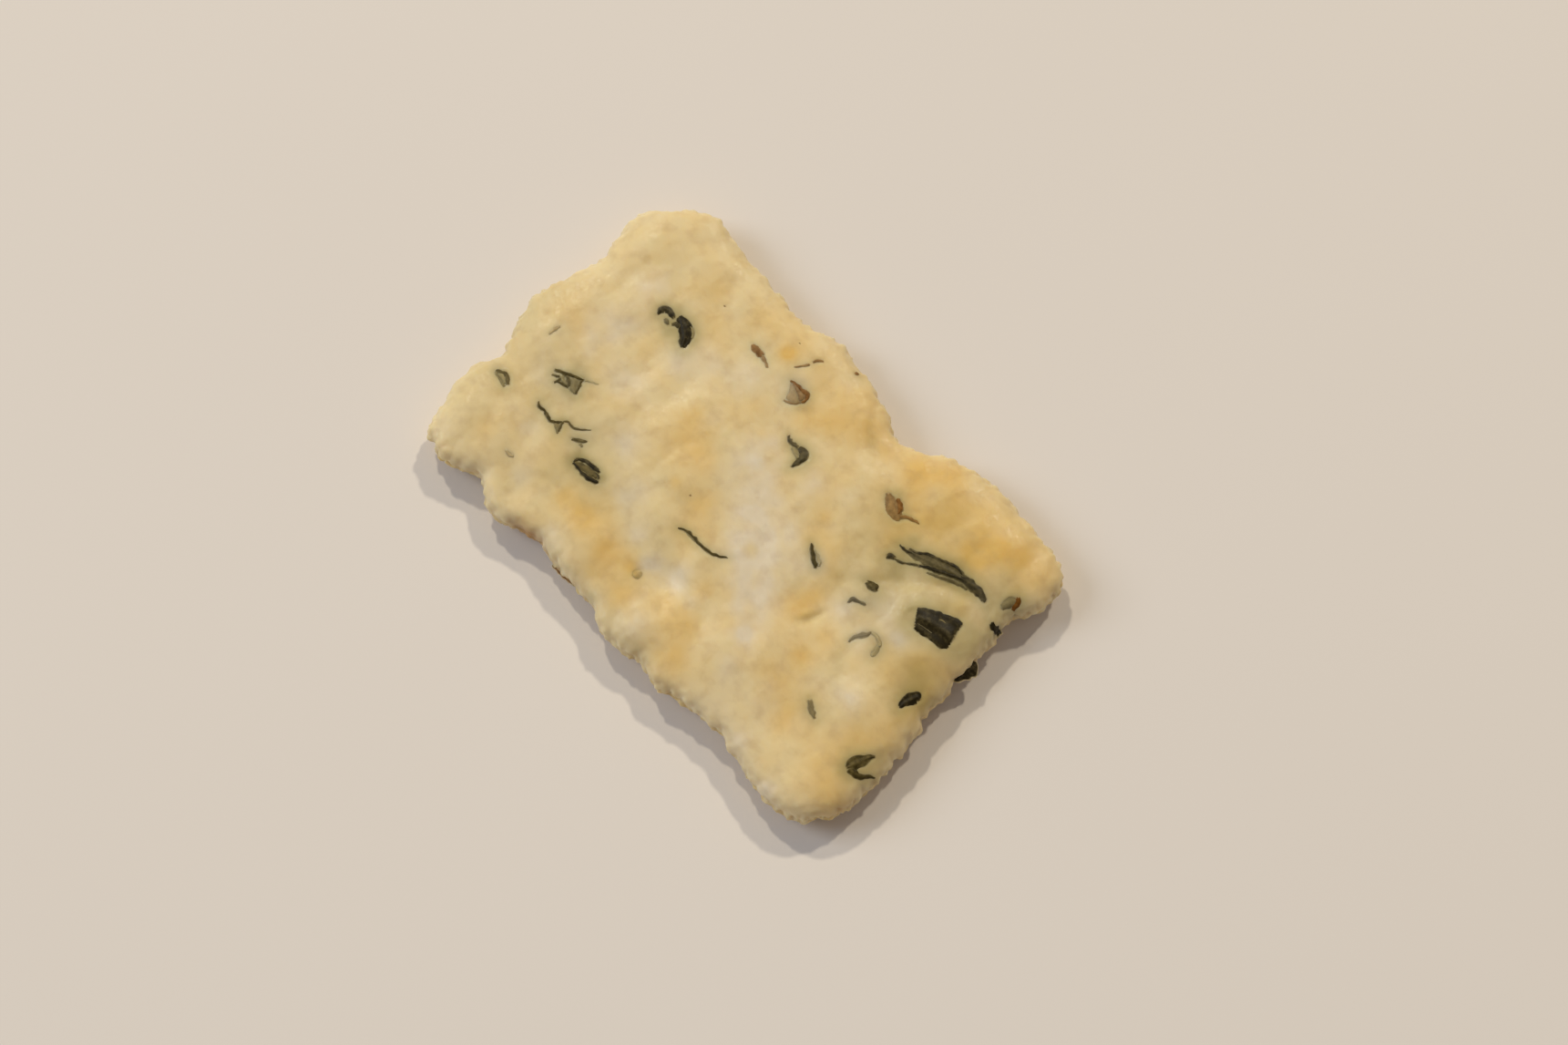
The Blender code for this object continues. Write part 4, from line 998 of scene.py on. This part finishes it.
def build_seaweed(kind):
    """All pieces of one kind: those on the upper face, in the rim and on the underside."""
    parts = []
    for number, row in enumerate(SEAWEED[kind]):
        parts.append(laid_blade(row, 100 + 7 * number + len(kind), lambda x, y: skin_level(*grid_of(x, y))))
    for rim_kind, share, slope, row in RIM_SEAWEED:
        if rim_kind == kind:
            level = UNDERSIDE_LIFT + share * THICKNESS
            middle = np.mean(row[3], axis=0)[:2]
            out = middle / np.linalg.norm(middle)
            tilt = lambda x, y: level + slope * ((x - middle[0]) * out[0] + (y - middle[1]) * out[1])
            parts.append(laid_blade(row, 200, tilt))
    for number, (line, breadth) in enumerate(underside_lines()):
        if list(SEAWEED)[number % len(SEAWEED)] == kind:
            row = (*UNDERSIDE_ROW, np.column_stack([line, breadth * UNDERSIDE_TAPER]))
            parts.append(laid_blade(row, 300 + number, lambda x, y: under_face(*grid_of(x, y)), up=-1.0))
    points, faces, crest, veil, walls = zip(*parts)
    starts = np.cumsum([0] + [len(part) for part in points[:-1]])
    points = np.concatenate(points)
    faces = np.concatenate([part + start for part, start in zip(faces, starts)])
    marks = dough_marks(*points.T)
    marks["crest"], marks["veil"] = np.concatenate(crest), np.concatenate(veil)
    piece = make_piece("seaweed_" + kind, points, faces, dried_seaweed(kind), marks, np.concatenate(walls))
    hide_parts(NODE)
    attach(piece, "root")


# ---- the stage ----

# The point that the camera looks at and the table's half side and level, in mm
LOOK_AT = (4.32, 1.34, 2.5)
TABLE_HALF_SIDE, TABLE_LEVEL = 3000.0, -0.02
SENSOR_WIDTH, CLIP_START = 36.0, 0.01

# Square soft lights: name, settings of its power and colour, side, and place as the camera sees it: to its right,
# beyond the cracker and above it, in metres
LIGHTS = [
    ("left_lamp", "left_power", "lamp", 0.10, (-0.466, 1.279, 1.46)),
    ("right_lamp", "right_power", "lamp", 0.10, (0.720, 1.140, 1.38)),
    ("window", "window_power", "window", 0.75, (-1.20, 0.225, 0.855)),
]


def camera_axes(azimuth, elevation):
    """Unit vectors from the cracker back to the camera and to its right."""
    back = Vector((np.sin(azimuth) * np.cos(elevation), -np.cos(azimuth) * np.cos(elevation), np.sin(elevation)))
    return back, Vector((np.cos(azimuth), np.sin(azimuth), 0.0))


def build_camera(settings):
    """The camera, at its distance from the point that it looks at."""
    back, right = camera_axes(settings.azimuth, settings.elevation)
    lens = bpy.data.cameras.new("camera")
    lens.lens = settings.lens
    lens.sensor_fit = "HORIZONTAL"
    lens.sensor_width = SENSOR_WIDTH
    lens.clip_start = CLIP_START
    made = bpy.data.objects.new("camera", lens)
    bpy.context.scene.collection.objects.link(made)
    turn = Matrix((right, back.cross(right), back)).transposed().to_4x4()
    made.matrix_world = Matrix.Translation(Vector(LOOK_AT) * MM + back * settings.distance) @ turn
    bpy.context.scene.camera = made


def build_light(settings, name, power, colour, side, place_seen):
    """A square soft light that faces the cracker."""
    _, right = camera_axes(settings.azimuth, settings.elevation)
    away = Vector((-np.sin(settings.azimuth), np.cos(settings.azimuth), 0.0))
    lamp = bpy.data.lights.new(name, "AREA")
    lamp.size = side
    lamp.energy = getattr(settings, power)
    lamp.color = getattr(settings, colour)
    made = bpy.data.objects.new(name, lamp)
    bpy.context.scene.collection.objects.link(made)
    made.location = right * place_seen[0] + away * place_seen[1] + Vector((0.0, 0.0, place_seen[2]))
    made.rotation_euler = (-made.location).to_track_quat("-Z", "Y").to_euler()


def build_table(settings):
    """The table top: one broad square, just below the cracker."""
    corners = np.array([(-1, -1, 0), (1, -1, 0), (1, 1, 0), (-1, 1, 0)]) * TABLE_HALF_SIDE + (0.0, 0.0, TABLE_LEVEL)
    table = make_piece("table_top", corners, np.array([[0, 1, 2, 3]]), matt_painted_table(settings.table))


def build_room(settings):
    """Even light from all round."""
    world = bpy.data.worlds.new("room")
    world.use_nodes = True
    light = world.node_tree.nodes["Background"]
    light.inputs["Color"].default_value = (*settings.room, 1.0)
    light.inputs["Strength"].default_value = settings.room_strength
    bpy.context.scene.world = world


# ---- operators ----


class CRACKER_OT_bake_dough(bpy.types.Operator):
    """Make the cracker's dough with its crumb, creases and colours"""

    bl_idname = "cracker.bake_dough"
    bl_label = "Bake Dough"

    def execute(self, context):
        build_dough()
        return {"FINISHED"}


class CRACKER_OT_lay_seaweed(bpy.types.Operator):
    """Lay the chopped seaweed in the dough, one piece for each kind"""

    bl_idname = "cracker.lay_seaweed"
    bl_label = "Lay Seaweed"

    def execute(self, context):
        for kind in SEAWEED:
            build_seaweed(kind)
        return {"FINISHED"}


class CRACKER_OT_set_stage(bpy.types.Operator):
    """Set the table, the lights and the camera"""

    bl_idname = "cracker.set_stage"
    bl_label = "Set Stage"

    def execute(self, context):
        settings = context.scene.cracker_studio
        build_camera(settings)
        build_table(settings)
        for row in LIGHTS:
            build_light(settings, *row)
        build_room(settings)
        context.scene.view_settings.view_transform = "Standard"
        context.scene.view_settings.look = "None"
        return {"FINISHED"}


class CRACKER_PT_panel(bpy.types.Panel):
    """The cracker's settings and steps"""

    bl_label = "Seaweed Rice Cracker"
    bl_space_type = "VIEW_3D"
    bl_region_type = "UI"
    bl_category = "Cracker"

    def draw(self, context):
        for group, step in (
            (context.scene.cracker_dough, "cracker.bake_dough"),
            (context.scene.cracker_seaweed, "cracker.lay_seaweed"),
            (context.scene.cracker_studio, "cracker.set_stage"),
        ):
            box = self.layout.box()
            for key in group.__annotations__:
                box.prop(group, key)
            box.operator(step)


CLASSES = (
    DoughSettings, SeaweedSettings, StudioSettings,
    CRACKER_OT_bake_dough, CRACKER_OT_lay_seaweed, CRACKER_OT_set_stage, CRACKER_PT_panel,
)


def register():
    for item in CLASSES:
        bpy.utils.register_class(item)
    bpy.types.Scene.cracker_dough = bpy.props.PointerProperty(type=DoughSettings)
    bpy.types.Scene.cracker_seaweed = bpy.props.PointerProperty(type=SeaweedSettings)
    bpy.types.Scene.cracker_studio = bpy.props.PointerProperty(type=StudioSettings)


def unregister():
    del bpy.types.Scene.cracker_studio
    del bpy.types.Scene.cracker_seaweed
    del bpy.types.Scene.cracker_dough
    for item in reversed(CLASSES):
        bpy.utils.unregister_class(item)


def main():
    register()
    bpy.ops.cracker.set_stage()
    bpy.ops.cracker.bake_dough()
    bpy.ops.cracker.lay_seaweed()


if __name__ == "__main__":
    main()
